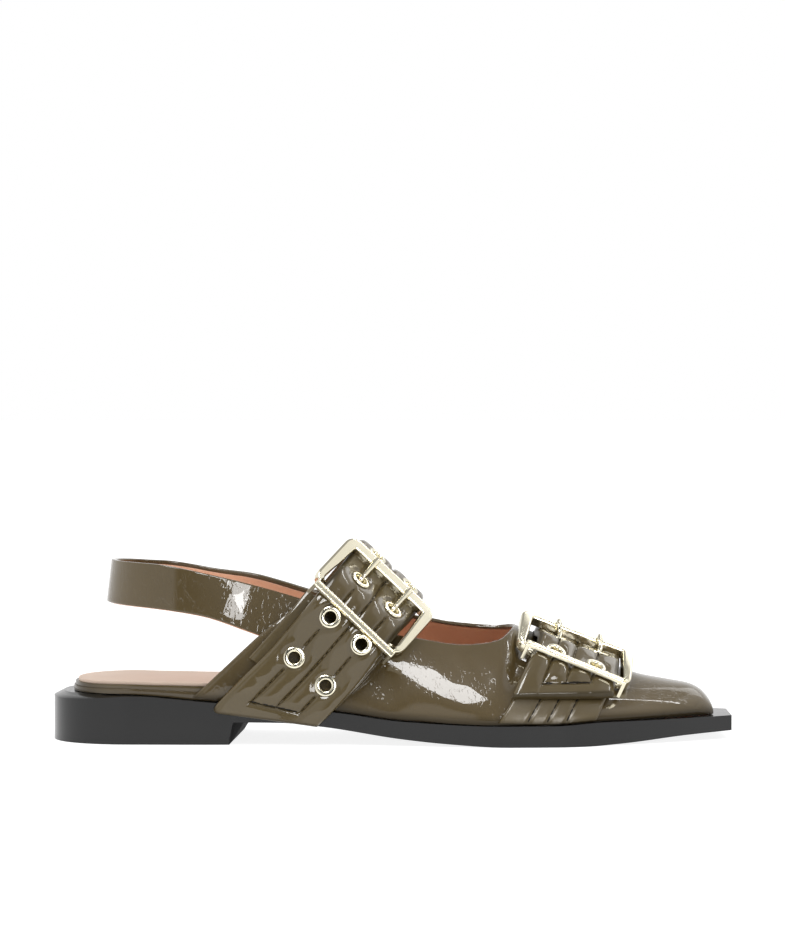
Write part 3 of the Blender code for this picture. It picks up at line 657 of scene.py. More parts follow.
def intersect(thing, other):
    step = thing.modifiers.new("cut", "BOOLEAN")
    step.operation = "INTERSECT"
    step.solver = "EXACT"
    step.object = other
    settle(thing)
    bpy.data.objects.remove(other, do_unlink=True)
    return thing


def plan(back, half, xs):
    """A closed outline from above: the back of the heel, the outer side to the toe, the inner side back."""
    outer = [(float(x), -float(half(x, 1))) for x in xs]
    inner = [(float(x), float(half(x, 2))) for x in reversed(xs)]
    return [(back, 0.0)] + outer + inner


def heel_places(back, count):
    angles = np.linspace(0, math.pi / 2, count + 1)[1:]
    return list(HEEL_ARC - (HEEL_ARC - back) * np.cos(angles))


# %% Two cuts of the sole
BREAST_FOOT = -62.6
BREAST_TOP = -57.0
BREAST_TURN = 0.06
BREAST_HIGH = 9.5
BREAST_REACH = -30.0
TREAD_FLAT = (46, 76)
BLOCK_END = 140.0
BLOCK_HIGH = 120.0
BLOCK_WIDE = 160.0
sole_xs = heel_places(HEEL_BACK, 40) + list(np.linspace(HEEL_ARC, TOE_END, 120)[1:])
outsole = prism("outsole_unit", plan(HEEL_BACK, sole_half, sole_xs), BLOCK_HIGH, "z")
waist = list(np.linspace(BREAST_TOP, TREAD_FLAT[0], 50))
toe_spring = list(np.linspace(TREAD_FLAT[1], BLOCK_END, 32))
under = [(x, float(sole_under(x))) for x in waist + toe_spring]
over = [(x, float(sole_top(x))) for x in np.linspace(BLOCK_END, -BLOCK_END, 140)]
side = prism("side_view", [(-BLOCK_END, 0.0), (BREAST_FOOT, 0.0)] + under + over, BLOCK_WIDE, "y")
place = places_of(side)
breast = (place[:, 2] < BREAST_HIGH) & (place[:, 0] > BREAST_FOOT - 0.01) & (place[:, 0] < BREAST_REACH)
place[breast, 0] += BREAST_TURN * place[breast, 1] * ramp(BREAST_REACH, BREAST_TOP, place[breast, 0])
put(side, place)
intersect(outsole, side)
print("corners of the cut sole:", len(outsole.data.vertices))

# %% Heel breast, rim and tread
BREAST_SPAN = (-72.0, -50.0)
BREAST_NEAR = 0.7
BREAST_CORNER = 5.6
CORNER_RUN = (-32.0, -20.0)
CORNER_CUTS = (-29.0, -26.0, -22.0, -18.0)
RIM_WIDE = 4.0
RIM_DROP = 2.0
RIM_RUN = (-95.0, -134.0)
SOLE_EDGE = 0.45


def in_breast(spot, way):
    """Whether a face looks forward where the breast stands."""
    return way.x > FACING and BREAST_SPAN[0] < spot.x < BREAST_SPAN[1]


for y in CORNER_CUTS:
    choose_faces(outsole, in_breast)
    bpy.ops.mesh.bisect(plane_co=Vector(SHIFT) + Vector((0, y * MM, 0)), plane_no=(0, 1, 0))
    close_edit()
place = places_of(outsole)
up = place[:, 2] / sole_under(BREAST_TOP)
breast_line = BREAST_FOOT + (BREAST_TOP - BREAST_FOOT) * up + BREAST_TURN * place[:, 1]
breast = (up < 1.08) & (np.abs(place[:, 0] - breast_line) < BREAST_NEAR)
place[breast, 0] -= BREAST_CORNER * up[breast] * (1 - ramp(*CORNER_RUN, place[breast, 1]))
put(outsole, place)
choose_faces(outsole, lambda spot, way: way.z > SQUARE)
bpy.ops.mesh.inset(thickness=RIM_WIDE * MM)
close_edit()
place = places_of(outsole)
on_top = np.abs(place[:, 2] - sole_top(place[:, 0])) < 0.4
rim = np.abs(place[:, 1]) > sole_half(place[:, 0], 1) - 1.0
place[on_top & rim, 2] -= RIM_DROP * ramp(*RIM_RUN, place[on_top & rim, 0])
put(outsole, place)
bevel(outsole, SOLE_EDGE, 3, 50)
flat_faces(outsole, 40)
outsole.data.materials.append(black_rubber)
outsole.data.materials.append(tread_rubber)
for face in outsole.data.polygons:
    spot = face.center / MM
    on_breast = spot.z < BREAST_HIGH + 0.1 and in_breast(spot, face.normal)
    face.material_index = int(face.normal.z < -FACING or on_breast)
dress(outsole, black_rubber, "black_sole", "outsole")

# %% [markdown]
# On the sole lies a board wrapped in the same patent leather, and on it the tan sock that the foot stands
# on. Both are sheets with a rounded edge. The wrap shows as two soft beads along the heel, so it is made
# as two sheets. A flat sheet could be bent to the sole as well, but the sole's two cuts serve again, since
# the outlines differ only by an inset.

# %% Footbed
# x, distance from the sole's edge
BOARD_EDGE = ((-101, 4.0), (-77, 3.8), (60, 3.8), (90, 5.4), (102, 7.4), (109, 9.5))

# x, height over the sole
BOARD_RISE = (
    (-140, 3.4), (-100, 3.9), (-80, 5.2), (-62, 6.3),
    (-35, 5.2), (0, 2.9), (40, 2.1), (140, 2.0),
)
BOARD_BACK = -128.0
BACK_RATE = 1.3
BEAD_SHARE = 0.55
# Painted shade on the wrapped edge behind the heel: its share, and where it grows from none to full
HEEL_SHADE_SHARE = 0.7
HEEL_SHADE = (-112.0, -124.0)
SOCK_THICK = 1.2


def board_back(inset):
    """Rear end of a sheet, which comes in a little faster than its sides."""
    return BOARD_BACK + BACK_RATE * inset


def board_half(x, side, inset):
    x = np.asarray(x, float)
    front = look_up(SOLE_PLAN, side, x) - (look_up(BOARD_EDGE, 1, x) + inset)
    heel = heel_arc(x, board_back(inset), HEEL_HALF - BOARD_EDGE[0][1] - inset)
    return np.where(x < HEEL_ARC, heel, front)


def board_top(x):
    return sole_top(x) + GAP + look_up(BOARD_RISE, 1, x)


def footbed_sheet(name, inset, end, low, high, edge):
    """A sheet on the sole between two heights, its outline inset from the board's."""
    back = board_back(inset)
    xs = heel_places(back, 30) + list(np.linspace(HEEL_ARC, end, 90)[1:])
    sheet = prism(name, plan(back, lambda x, k: board_half(x, k, inset), xs), BLOCK_HIGH, "z")
    spots = np.linspace(-BLOCK_END, BLOCK_END, 110)
    view = [(x, float(low(x))) for x in spots] + [(x, float(high(x))) for x in reversed(spots)]
    intersect(sheet, prism("side_view", view, BLOCK_WIDE, "y"))
    bevel(sheet, edge, 4, 50)
    return soft_shade(sheet, 40)


def wrap_split(x):
    """Height of the groove between the two beads of the wrapped board."""
    return sole_top(x) + GAP + BEAD_SHARE * (board_top(x) - sole_top(x) - GAP)


def shade_heel(thing):
    """Painted shade on the wrapped edge round the back of the heel."""
    return mark_painted_shade(thing, HEEL_SHADE_SHARE * ramp(*HEEL_SHADE, places_of(thing)[:, 0]))


# %% Board, bead and sock
board = footbed_sheet("insole_board_wrap", inset=0.0, end=108.0, low=lambda x: sole_top(x) + GAP,
                      high=wrap_split, edge=1.0)
shade_heel(board)
dress(board, patent, "olive_patent", "insole_board")
bead = footbed_sheet("insole_edge_bead", inset=0.5, end=107.0, low=wrap_split, high=board_top, edge=0.8)
shade_heel(bead)
dress(bead, patent, "olive_patent")
sock = footbed_sheet("insole_sock", inset=1.4, end=104.0, low=board_top,
                     high=lambda x: board_top(x) + SOCK_THICK, edge=0.5)
dress(sock, sock_leather, "tan_leather", "insole")

# %% [markdown]
# The upper is one sheet of leather pulled over the last. Its four edges are drawn first: the feather,
# where it meets the sole, the topline round the foot, and the rear edges of the two quarters. The sheet
# is filled in between them on the last's own surface. Creases are soft troughs, each placed where the
# leather bends, and those with a negative depth are bulges and the ridge along the toe's shoulder.
# Bulges fade out under the instep belt. A simulated cloth could be pulled over the last too, but the
# edges are what the photograph shows best, so the sheet starts from them.

# %% Upper
REAR_OUTER = ((-79, 18.6), (-54, 42), (-33, 58))
REAR_INNER = ((-73.5, 18.6), (-48.5, 42), (-33, 58))
TOPLINE_OUTER = ((-33, 58), (-20, 53), (-5, 45.5), (11, 41.2), (24, 39.4), (37, 39.8), (44, 41.4))
TOPLINE_INNER = ((-33, 58), (-20, 56.5), (-5, 51.5), (11, 48.0), (24, 45.8), (37, 44.6), (44, 44.4))
THROAT_PLACE = 30.3
UPPER_WALL = 1.6
LEATHER = 1.0
LINING_GAP = 0.02


def distances(path):
    """How far along a path each of its points lies."""
    return np.concatenate([[0], np.cumsum(np.linalg.norm(np.diff(path, axis=0), axis=1))])


def edge_path(points):
    """An edge of the upper as root-distance from the toe and angle, spread along its length."""
    length = distances(np.array([last_bare(np.array(u), np.array(a)) for u, a in points]))
    share = length / length[-1]
    root = np.sqrt(np.maximum(UPPER_TIP - np.array([u for u, a in points]), 0))
    angle = np.array([a for u, a in points])
    return lambda t: np.stack([smooth(share, root, t), smooth(share, angle, t)], -1)


def upper_edges():
    sides = []
    for rear in (REAR_OUTER, REAR_INNER):
        place = float(locate(*rear[0])[0])
        sides.append(list(UPPER_TIP - np.linspace(math.sqrt(UPPER_TIP - place), 0.0, 40) ** 2))
    chop = list(np.linspace(0, math.pi, 14)[1:-1])
    feather = [(u, 0.0) for u in sides[0]] + [(UPPER_TIP, a) for a in chop]
    feather += [(u, math.pi) for u in reversed(sides[1])]
    outer = [locate(x, z, True) for x, z in TOPLINE_OUTER]
    inner = [locate(x, z, False) for x, z in reversed(TOPLINE_INNER)]
    topline = outer + [(THROAT_PLACE, math.pi / 2)] + inner
    left = [locate(x, z, True) for x, z in REAR_OUTER]
    right = [locate(x, z, False) for x, z in REAR_INNER]
    return [edge_path(points) for points in (feather, topline, left, right)]


EDGES = upper_edges()


def upper_place(s, t):
    """Place and angle on the last of a point of the upper's sheet."""
    feather, topline, left, right = EDGES
    across = (1 - t)[:, None] * feather(s) + t[:, None] * topline(s)
    ends = (1 - s)[:, None] * left(t) + s[:, None] * right(t)
    zero, one = np.zeros(1), np.ones(1)
    corners = ((1 - s) * (1 - t))[:, None] * feather(zero) + (s * (1 - t))[:, None] * feather(one)
    corners = corners + ((1 - s) * t)[:, None] * topline(zero) + (s * t)[:, None] * topline(one)
    place = across + ends - corners
    return UPPER_TIP - np.maximum(place[:, 0], 0) ** 2, place[:, 1]


print("corner of the outer quarter:", [number.round(2) for number in upper_place(np.zeros(1), np.ones(1))])

# %% Creases and rolled edges
# Creases: x and z of the middle seen from the side, direction in degrees, half length, half width, depth
CREASES = (
    (50, 33, 78, 11, 2.6, 0.7),
    (44, 34, 80, 12, 3.5, -0.4),
    (34, 30, 120, 10, 3.0, 0.25),
    (20, 34, 140, 12, 4.0, 0.25),
    (107, 11.8, 60, 1.8, 0.6, 0.14),
    (111, 11.6, 70, 1.6, 0.6, 0.12),
    (114, 11.8, 65, 1.8, 0.6, 0.14),
    (118, 11.6, 75, 1.6, 0.6, 0.14),
    (121, 11.8, 80, 1.8, 0.6, 0.12),
    (15, 20, -39, 42, 8, -0.8),
    (23, 26, -45, 26, 7.5, -0.5),
    (-7, 26, -29, 13, 7.5, 0.9),
    (103, 16, -6, 22, 1.2, -0.3),
)

# Bulges are at their full height from this place on, and fade over some mm behind it
UNDER_BELT = -24.0
BULGE_FADE = 8.0

# How strongly the corners of the sheet are drawn towards its edges
CROWD_ALONG = 0.5
CROWD_ACROSS = 0.65


def crease_depth(spots):
    """How deep the creases lie at each point, the same on both sides of the foot."""
    depth = np.zeros(len(spots))
    for x, z, way, half, wide, deep in CREASES:
        turn = math.radians(way)
        dx, dz = spots[:, 0] - x, spots[:, 2] - z
        along = dx * math.cos(turn) + dz * math.sin(turn)
        off = -dx * math.sin(turn) + dz * math.cos(turn)
        depth += deep * np.exp(-((along / half) ** 4) - (off / wide) ** 2)
    return depth


def edge_roll(distance, radius):
    """How far a cut edge rounds off, from 1 at the edge to 0 a radius away."""
    t = np.clip(distance / radius, 0, 1)
    return 1 - np.sqrt(np.maximum(1 - (1 - t) ** 2, 0))


# For the feather, the topline and the two rear edges: how wide and how deep the leather rolls in there
ROLLS = ((3.0, 0.9), (1.3, 0.7), (2.4, 0.9), (2.4, 0.9))


def roll_depth(spots):
    """How far the outer face rolls in near the edges of the upper."""
    deepest = np.zeros(len(spots))
    for edge, (radius, deep) in zip(EDGES, ROLLS):
        line = edge(np.linspace(0, 1, 500))
        away = np.full(len(spots), 99.0)
        for spot in last_bare(UPPER_TIP - np.maximum(line[:, 0], 0) ** 2, line[:, 1]):
            away = np.minimum(away, np.linalg.norm(spots - spot, axis=1))
        deepest = np.maximum(deepest, deep * edge_roll(away, radius))
    return deepest


def crowd(t, share):
    """Places from 0 to 1 that lie closer together near both ends."""
    return (1 - share) * t + share * (0.5 - 0.5 * np.cos(math.pi * t))


def leather_shell(name, columns, rows, high, low, rear=0.0, top=0.0, roll=0.0):
    """A wall on the last between two heights above it; rear and top keep it short of those edges."""
    thing, s, t = grid(name, columns, rows)
    s, t = crowd(s, CROWD_ALONG), crowd(t, CROWD_ACROSS)
    s, t = rear + (1 - 2 * rear) * s, t * (1 - top)
    u, a = upper_place(s, t)
    thicken(thing)
    spots = last_bare(u, a)
    normal = last_normal(u, a)
    sink = crease_depth(spots)
    sink = np.where(sink < 0, sink * ramp(UNDER_BELT - BULGE_FADE, UNDER_BELT, u), sink)
    heights = [high(s, t) - roll * roll_depth(spots), low(s, t)]
    faces = [spots + normal * (level - sink)[:, None] for level in heights]
    for face in faces:
        face[:, 2] = np.maximum(face[:, 2], sole_top(face[:, 0]) + GAP)
    put(thing, np.concatenate(faces))
    return face_out(thing)


print("deepest crease in mm:", max(row[5] for row in CREASES))

# %% Leather and lining of the upper
FOLD_REAR = 0.012
FOLD_TOP = 0.035
FOLD_SHARP = 0.7

# Painted shade at the foot of the upper, and round a spot behind the toe buckle: x, z, and where it fades
FOOT_SHADE = 4.6
THROAT_SHADE = (57.0, 42.0)
THROAT_FADE = (4.0, 8.0)


def fold_depth(s, t):
    """Depth of the leather's inner face: all the wall where its edge is folded in."""
    top = ramp(1 - FOLD_TOP, 1 - FOLD_SHARP * FOLD_TOP, t)
    rear = ramp(FOLD_REAR, FOLD_SHARP * FOLD_REAR, np.minimum(s, 1 - s))
    return -LEATHER - (UPPER_WALL - LEATHER) * np.maximum(top, rear)


upper = leather_shell("upper_leather", 280, 64, lambda s, t: np.zeros(len(s)), fold_depth, roll=1.0)
bevel(upper, 0.15, 2, 50)
soft_shade(upper, 45)
# Painted shade along the foot of the upper and round a spot behind the toe buckle
place = places_of(upper)
away = np.hypot(place[:, 0] - THROAT_SHADE[0], place[:, 2] - THROAT_SHADE[1])
mark_painted_shade(upper, np.maximum(foot_share(upper, FOOT_SHADE), 1 - ramp(*THROAT_FADE, away)))
dress(upper, patent, "olive_patent", "upper")
lining = leather_shell("upper_lining", 160, 40, lambda s, t: np.full(len(s), -LEATHER - LINING_GAP),
                       lambda s, t: np.full(len(s), -UPPER_WALL), rear=FOLD_REAR, top=FOLD_TOP)
soft_shade(lining, 45)
dress(lining, tan_lining, "tan_leather")

# %% [markdown]
# The slingback is a band round the heel. Its front ends are sewn inside the quarters, so they follow the
# last just under the upper, and from there it runs free in a round bow. It is patent leather outside and
# tan lining inside, and the leather folds over the top edge, while the cut lining shows as a thin line
# below the lower one. A bevelled curve could make a band too, but here its two edges rise and fall on
# their own, so it is a grid.

# %% Slingback
# x, lower edge, upper edge, and how much higher the inner half lies
SLING = (
    (-116, 55.0, 72.0, 0.0),
    (-95, 53.6, 71.2, -1.5),
    (-76, 50.8, 68.0, -1.0),
    (-52, 43.2, 62.4, 1.7),
    (-34, 37.2, 57.2, 1.7),
    (-26, 34.3, 54.6, 1.5),
)
SLING_FRONT = -26.0
SLING_TURN = -84.0
SLING_DEEP = 29.0
SLING_LEAN = 2.0
SLING_HALF = 29.0
SLING_SIDE = 0.55
SLING_THICK = 2.0
SLING_LEATHER = 1.2
SLING_OVER = 0.1
SLING_FOLD = (0.90, 0.93)
SLING_LINING = (-0.016, 0.905)
SLING_FREE = (-54.0, -80.0)


def sling_face(way, height):
    """The outer face of the slingback, from the inner quarter round the heel to the outer one."""
    outer = way > 0.5
    half = 1 - np.abs(2 * way - 1)
    turn = np.clip((half - SLING_SIDE) / (1 - SLING_SIDE), 0, 1) * math.pi / 2
    x = SLING_FRONT + (SLING_TURN - SLING_FRONT) * np.minimum(half / SLING_SIDE, 1)
    x = x - (SLING_DEEP + SLING_LEAN * (1 - height)) * np.sin(turn)
    y = SLING_HALF * np.cos(turn)
    low, high = look_up(SLING, 1, x), look_up(SLING, 2, x)
    z = low + (high - low) * height
    z = z + np.where(outer, 0.0, look_up(SLING, 3, x))
    free = np.stack([x, np.where(outer, -y, y), z], -1)
    u, a = locate(np.maximum(x, SLING_FREE[1]), z, outer)
    held = last_point(u, a, np.full(u.shape, -UPPER_WALL - GAP))
    return held + (free - held) * ramp(*SLING_FREE, x)[..., None]


def sling_sheet(name, front, back, low, high):
    """A band between two depths behind the outer face; low and high are shares of its height."""
    thing, s, t = grid(name, 170, 24)
    ways, heights = np.unique(s.round(6)), np.unique(t.round(6))
    levels = low + (high - low) * heights
    face = sling_face(*np.meshgrid(ways, levels, indexing="ij"))
    normal = np.cross(np.gradient(face, axis=0), np.gradient(face, axis=1))
    normal /= np.linalg.norm(normal, axis=-1, keepdims=True)
    if np.sum((face - face.mean((0, 1))) * normal) < 0:
        normal = -normal
    i = np.searchsorted(ways, s.round(6))
    j = np.searchsorted(heights, t.round(6))
    thicken(thing)
    behind = np.broadcast_to(back(levels), face.shape[:2])[..., None]
    put(thing, np.concatenate([(face - normal * front)[i, j], (face - normal * behind)[i, j]]))
    return face_out(thing)


def folded_back(t):
    """Back of the leather: folded over the top edge, it is as thick there as leather and lining."""
    return SLING_LEATHER + (SLING_THICK + SLING_OVER - SLING_LEATHER) * ramp(*SLING_FOLD, t)


# %% Leather and lining of the slingback
sling = sling_sheet("slingback_leather", 0.0, folded_back, 0.0, 1.0)
bevel(sling, 0.4, 3, 50)
soft_shade(sling, 45)
dress(sling, patent, "olive_patent", "slingback_strap")
sling_lining = sling_sheet("slingback_lining", SLING_LEATHER + LINING_GAP,
                           lambda t: np.full(len(t), SLING_THICK), *SLING_LINING)
bevel(sling_lining, 0.2, 2, 50)
soft_shade(sling_lining, 45)
dress(sling_lining, tan_lining, "tan_leather")

# %% [markdown]
# A belt runs over the foot along lines that are parallel to its edges. On each line the distance from the
# crest of the foot, called reach, tells how far along the belt a point lies. The buckle is a flat frame
# that stands a little above the last, and the belt climbs over its near bar and dives under its far one.
# A straight belt could be bent along a curve by a modifier. It has to lie close on the foot and pass both
# bars, so each of its lines is laid on the last instead.

# %% Belts and buckles on the last
INSTEP_WIDTH = (-67.8, -23.2)
INSTEP_WIDE = 36.0
INSTEP_TAIL = ((-69, 12.6), (-27, 7.0))
INSTEP_CORNER = 3.4
TOE_WIDTH = (42.2, 83.2)
TOE_WIDE = 36.4
TOE_TAIL = ((49, 19.5), (87, 19.5))
TOE_CORNER = 1.0
BELT = 2.4
BASE = 1.4
BASE_LIFT = 0.6
BELT_ON_BASE = BASE_LIFT + BASE + GAP
SIDE_LIFT = 0.6
FOOT_ANGLE = 0.012
INSTEP_FLARE = -1.2
INSTEP_FAR = -14.4
INSTEP_LIFTS = (6.0, 7.2)
INSTEP_SHIFT = 0.6
INSTEP_TURN = 3.5
INSTEP_ROLL = -1.6
TOE_FAR = -2.6
TOE_LIFTS = (6.4, 5.2)
TOE_SHIFT = -1.1
TOE_TURN = -4.5
TOE_ROLL = -0.6
INSTEP_ROWS = (0.0, 19.8, 2.5)
INSTEP_DROP = (-9.0, 7.0)
TOE_ROWS = (3.5, 16.5, 0.0)
TOE_DROP = (-4.5, 8.5)
FRAME_LONG = 29.0
BAR = 3.8
FRAME_DEEP = 3.2
HINGE_DROP = 1.2
STATION = (FRAME_LONG - BAR) / 2
COLUMN = 8.8

# Along the belt from the buckle's middle: where it climbs to the hinge, settles on the foot, and flares
CLIMB = (-36.0, -18.0)
SETTLE = (15.5, 32.0)
FLARE_RUN = (-40.0, -64.0)
print("half the distance between the bars in mm:", STATION)


# %% A belt with its buckle
def unit(vector):
    return vector / np.linalg.norm(vector)


class Belt:
    """A belt across the last with its buckle."""

    def __init__(self, width, wide, tail, corner, far_reach, lifts, shift, turn, roll, rows, drop, flare=0.0):
        self.width, self.wide, self.tail, self.corner = width, wide, tail, corner
        self.rows, self.drop, self.turn, self.flare = rows, drop, turn, flare
        self.middle = sum(width) / 2
        self.places = np.linspace(width[0] - 8, width[1] + 8, 17)
        self.reaches = np.arange(-125.0, 125.0, 0.5)
        angles = np.linspace(-0.45, math.pi + 0.1, 900)
        self.table = np.array([self.angles_along(u, angles) for u in self.places])
        far = self.stand(self.middle, far_reach, lifts[0])
        reach, near = far_reach, far
        while np.linalg.norm(far - near) < 2 * STATION:
            reach -= 0.05
            near = self.stand(self.middle, reach, lifts[1])
        self.mid = (far_reach + reach) / 2
        self.centre = (far + near) / 2
        self.along = unit(far - near)
        edges = [self.stand(np.full(2, u), np.array([far_reach, reach]), 4.0).sum(0) for u in width]
        across = edges[1] - edges[0]
        across = unit(across - self.along * np.dot(across, self.along))
        aside = np.dot((edges[0] + edges[1]) / 4 - self.centre, across) + shift
        self.centre = self.centre + across * aside
        twist, tip = math.radians(turn), math.radians(roll)
        self.across = across * math.cos(twist) - self.along * math.sin(twist)
        self.along = self.along * math.cos(twist) + across * math.sin(twist)
        self.out = np.cross(self.across, self.along)
        self.across = self.across * math.cos(tip) + self.out * math.sin(tip)
        self.out = np.cross(self.across, self.along)
        self.over_near = self.bar_lift(-STATION - BAR / 3, FRAME_DEEP / 2 - HINGE_DROP + GAP)
        self.under_far = self.bar_lift(STATION - BAR / 2, -FRAME_DEEP / 2 - 1.5 * GAP) - BELT

    def angles_along(self, u, angles):
        path = last_point(np.full(len(angles), u), angles, np.full(len(angles), 2.5))
        length = distances(path)
        return np.interp(self.reaches, length - np.interp(math.pi / 2, angles, length), angles)

    def angle(self, u, reach):
        u, reach = np.broadcast_arrays(np.asarray(u, float), np.asarray(reach, float))
        column_at = (u - self.places[0]) / (self.places[1] - self.places[0])
        row_at = (reach - self.reaches[0]) / (self.reaches[1] - self.reaches[0])
        i = np.clip(np.floor(column_at).astype(int), 0, len(self.places) - 2)
        j = np.clip(np.floor(row_at).astype(int), 0, len(self.reaches) - 2)
        p, q = column_at - i, row_at - j
        low = self.table[i, j] * (1 - q) + self.table[i, j + 1] * q
        high = self.table[i + 1, j] * (1 - q) + self.table[i + 1, j + 1] * q
        return low * (1 - p) + high * p

    def stand(self, u, reach, lift):
        return last_point(u, self.angle(u, reach), np.broadcast_to(lift, np.shape(reach)))

    def place(self, offset):
        """Place of a line a given distance from the belt's middle."""
        return self.middle + offset * (self.width[1] - self.width[0]) / self.wide

    def offset(self, u):
        return (u - self.middle) * self.wide / (self.width[1] - self.width[0])

    def askew(self, u):
        return self.offset(u) * math.sin(math.radians(self.turn))

    def bar_lift(self, station, height):
        a = self.angle(self.places, self.mid + station - self.askew(self.places))
        level = (last_bare(self.places, a) - self.centre) @ self.out
        return (height - level) / (last_normal(self.places, a) @ self.out)

    def run(self, u, reach):
        """Distance from the middle of the buckle along the belt."""
        return reach - self.mid + self.askew(u)

    def lift(self, u, reach):
        near = np.interp(u, self.places, self.over_near)
        far = np.interp(u, self.places, self.under_far)
        r = self.run(u, reach)
        lift = BELT_ON_BASE + (near - BELT_ON_BASE) * ramp(*CLIMB, r)
        lift = lift + (far - lift) * ramp(*self.drop, r)
        return lift + (SIDE_LIFT - lift) * ramp(*SETTLE, r)

    def point(self, u, reach, depth=0.0):
        """A point of the belt, depth above its under face."""
        u, reach = np.broadcast_arrays(np.asarray(u, float), np.asarray(reach, float))
        lift = self.lift(u, reach) + depth
        rear = (self.width[1] - u) / (self.width[1] - self.width[0])
        u = u + self.flare * rear * ramp(self.mid + FLARE_RUN[0], self.mid + FLARE_RUN[1], reach)
        return last_point(u, self.angle(u, reach), lift)

    def normal(self, u, reach):
        across = self.point(u + 0.5, reach, BELT) - self.point(u - 0.5, reach, BELT)
        along = self.point(u, reach + 0.5, BELT) - self.point(u, reach - 0.5, BELT)
        normal = np.cross(across, along)
        return normal / np.linalg.norm(normal, axis=-1, keepdims=True)

    def line_end(self, u, line, lift=BELT / 2):
        """Heights over a line that is drawn in the side view, and the reaches they belong to."""
        reaches = np.linspace(self.mid - 78.0, self.mid - 10.0, 500)
        spots = self.point(np.full(500, u), reaches, lift)
        (x0, z0), (x1, z1) = line
        level = z0 + (z1 - z0) * (spots[:, 0] - x0) / (x1 - x0)
        return spots[:, 2] - level, reaches

    def tail_end(self, u):
        above, reaches = self.line_end(u, self.tail)
        inset = self.offset(u) + self.wide / 2
        short = max(self.corner - inset, 0.0)
        return float(np.interp(self.corner - math.sqrt(max(self.corner**2 - short**2, 0.0)), above, reaches))

    def box_reach(self, u, box):
        """Reach of the stitched line across the tail."""
        above, reaches = self.line_end(u, box, BELT)
        return float(np.interp(0.0, above, reaches))

    def feather(self, u, angle):
        """Reach at which a line of the belt comes to a given angle on the last."""
        reaches = self.reaches
        return float(np.interp(angle, self.angle(np.full(len(reaches), u), reaches), reaches))

    def row(self, steps, offset):
        """Reach of an eyelet, counted in rows from the prongs."""
        reach = self.mid + self.rows[0] + steps * self.rows[1]
        return reach - offset * math.tan(math.radians(self.rows[2]))

    def matrix(self):
        """From the buckle's own axes, across, along and out, in metres, to the shoe."""
        axes = Matrix((self.across, self.along, self.out)).transposed().to_4x4()
        return Matrix.Translation(Vector(self.centre * MM + SHIFT)) @ axes

    def local(self, x, y, z):
        return self.centre + self.across * x + self.along * y + self.out * z


# %% Both belts
instep = Belt(INSTEP_WIDTH, INSTEP_WIDE, INSTEP_TAIL, INSTEP_CORNER, INSTEP_FAR, INSTEP_LIFTS, INSTEP_SHIFT,
              INSTEP_TURN, INSTEP_ROLL, INSTEP_ROWS, INSTEP_DROP, INSTEP_FLARE)
toe = Belt(TOE_WIDTH, TOE_WIDE, TOE_TAIL, TOE_CORNER, TOE_FAR, TOE_LIFTS, TOE_SHIFT,
           TOE_TURN, TOE_ROLL, TOE_ROWS, TOE_DROP)
for belt, node in ((instep, "instep_buckle_frame"), (toe, "toe_buckle_frame")):
    low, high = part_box(node)
    middle = (np.array(low) + np.array(high)) / 2
    print(node, "middle is off by mm:", ((belt.centre * MM + SHIFT - middle) / MM).round(2))

# %% [markdown]
# The belts are quilted: three rows of stitches pull the padding down and four soft channels swell between
# them. The rows stop at a stitched line near the tail, and the last bit is a plain border. The eyelets
# press the padding flat round them. All this is one height above the belt's own surface, so it is worked
# out corner by corner on a fine grid. A displacement texture could do that too, but the stitches and the
# keeper need the same heights, and a formula serves them all.

# %% Quilted belts
PUFF = 1.2
GROOVE = 0.5
BORDER_PUFF = 0.45
EYELET_LEVEL = 0.62
INSTEP_BOX = ((-56, 17.5), (-36.5, 13.2))
TOE_BOX = ((60.6, 25.0), (78.0, 25.0))
INSTEP_EYELETS = (("top", 1), ("prong", 0), ("upper", -1), ("lower", -2))
TOE_EYELETS = (("prong", 0), ("upper", -1))
BELTS = {
    "instep": (instep, INSTEP_BOX, INSTEP_EYELETS),
    "toe": (toe, TOE_BOX, TOE_EYELETS),
}
SIDES = (("rear", -COLUMN), ("front", COLUMN))
PUFF_POWERS = (2.4, 0.75)
GROOVE_HALF = 0.5
BOX_HALF = 0.7
BOX_RUN = (0.0, 4.0)
BOX_LEVEL = 0.1
BORDER_RISE = (0.2, 2.5)
BORDER_FADE = (-6.0, 4.0)
EDGE_PUFF = 0.65
BAR_PRESS = 0.75
PRESS_HALF = 4.5
WAVE = 0.035
WAVE_RUN = (0.0, 3.0)
EYELET_FLAT = (4.2, 6.2)
HOLE_CUT = 2.9


def eyelet_spots(belt, rows):
    return [(belt.place(o), belt.row(steps, o)) for name, steps in rows for o in (-COLUMN, COLUMN)]


def channel_height(o, wide):
    """Swell of the padding between the rows of stitches, across the belt."""
    stitch = np.min([np.abs(o + COLUMN), np.abs(o), np.abs(o - COLUMN)], 0)
    half = np.where(np.abs(o) > COLUMN, (wide / 2 - COLUMN) / 2, COLUMN / 2)
    t = np.clip(stitch / half, 0, 1)
    swell = (1 - (1 - t) ** PUFF_POWERS[0]) ** PUFF_POWERS[1]
    return PUFF * swell - GROOVE * np.exp(-((stitch / GROOVE_HALF) ** 2))


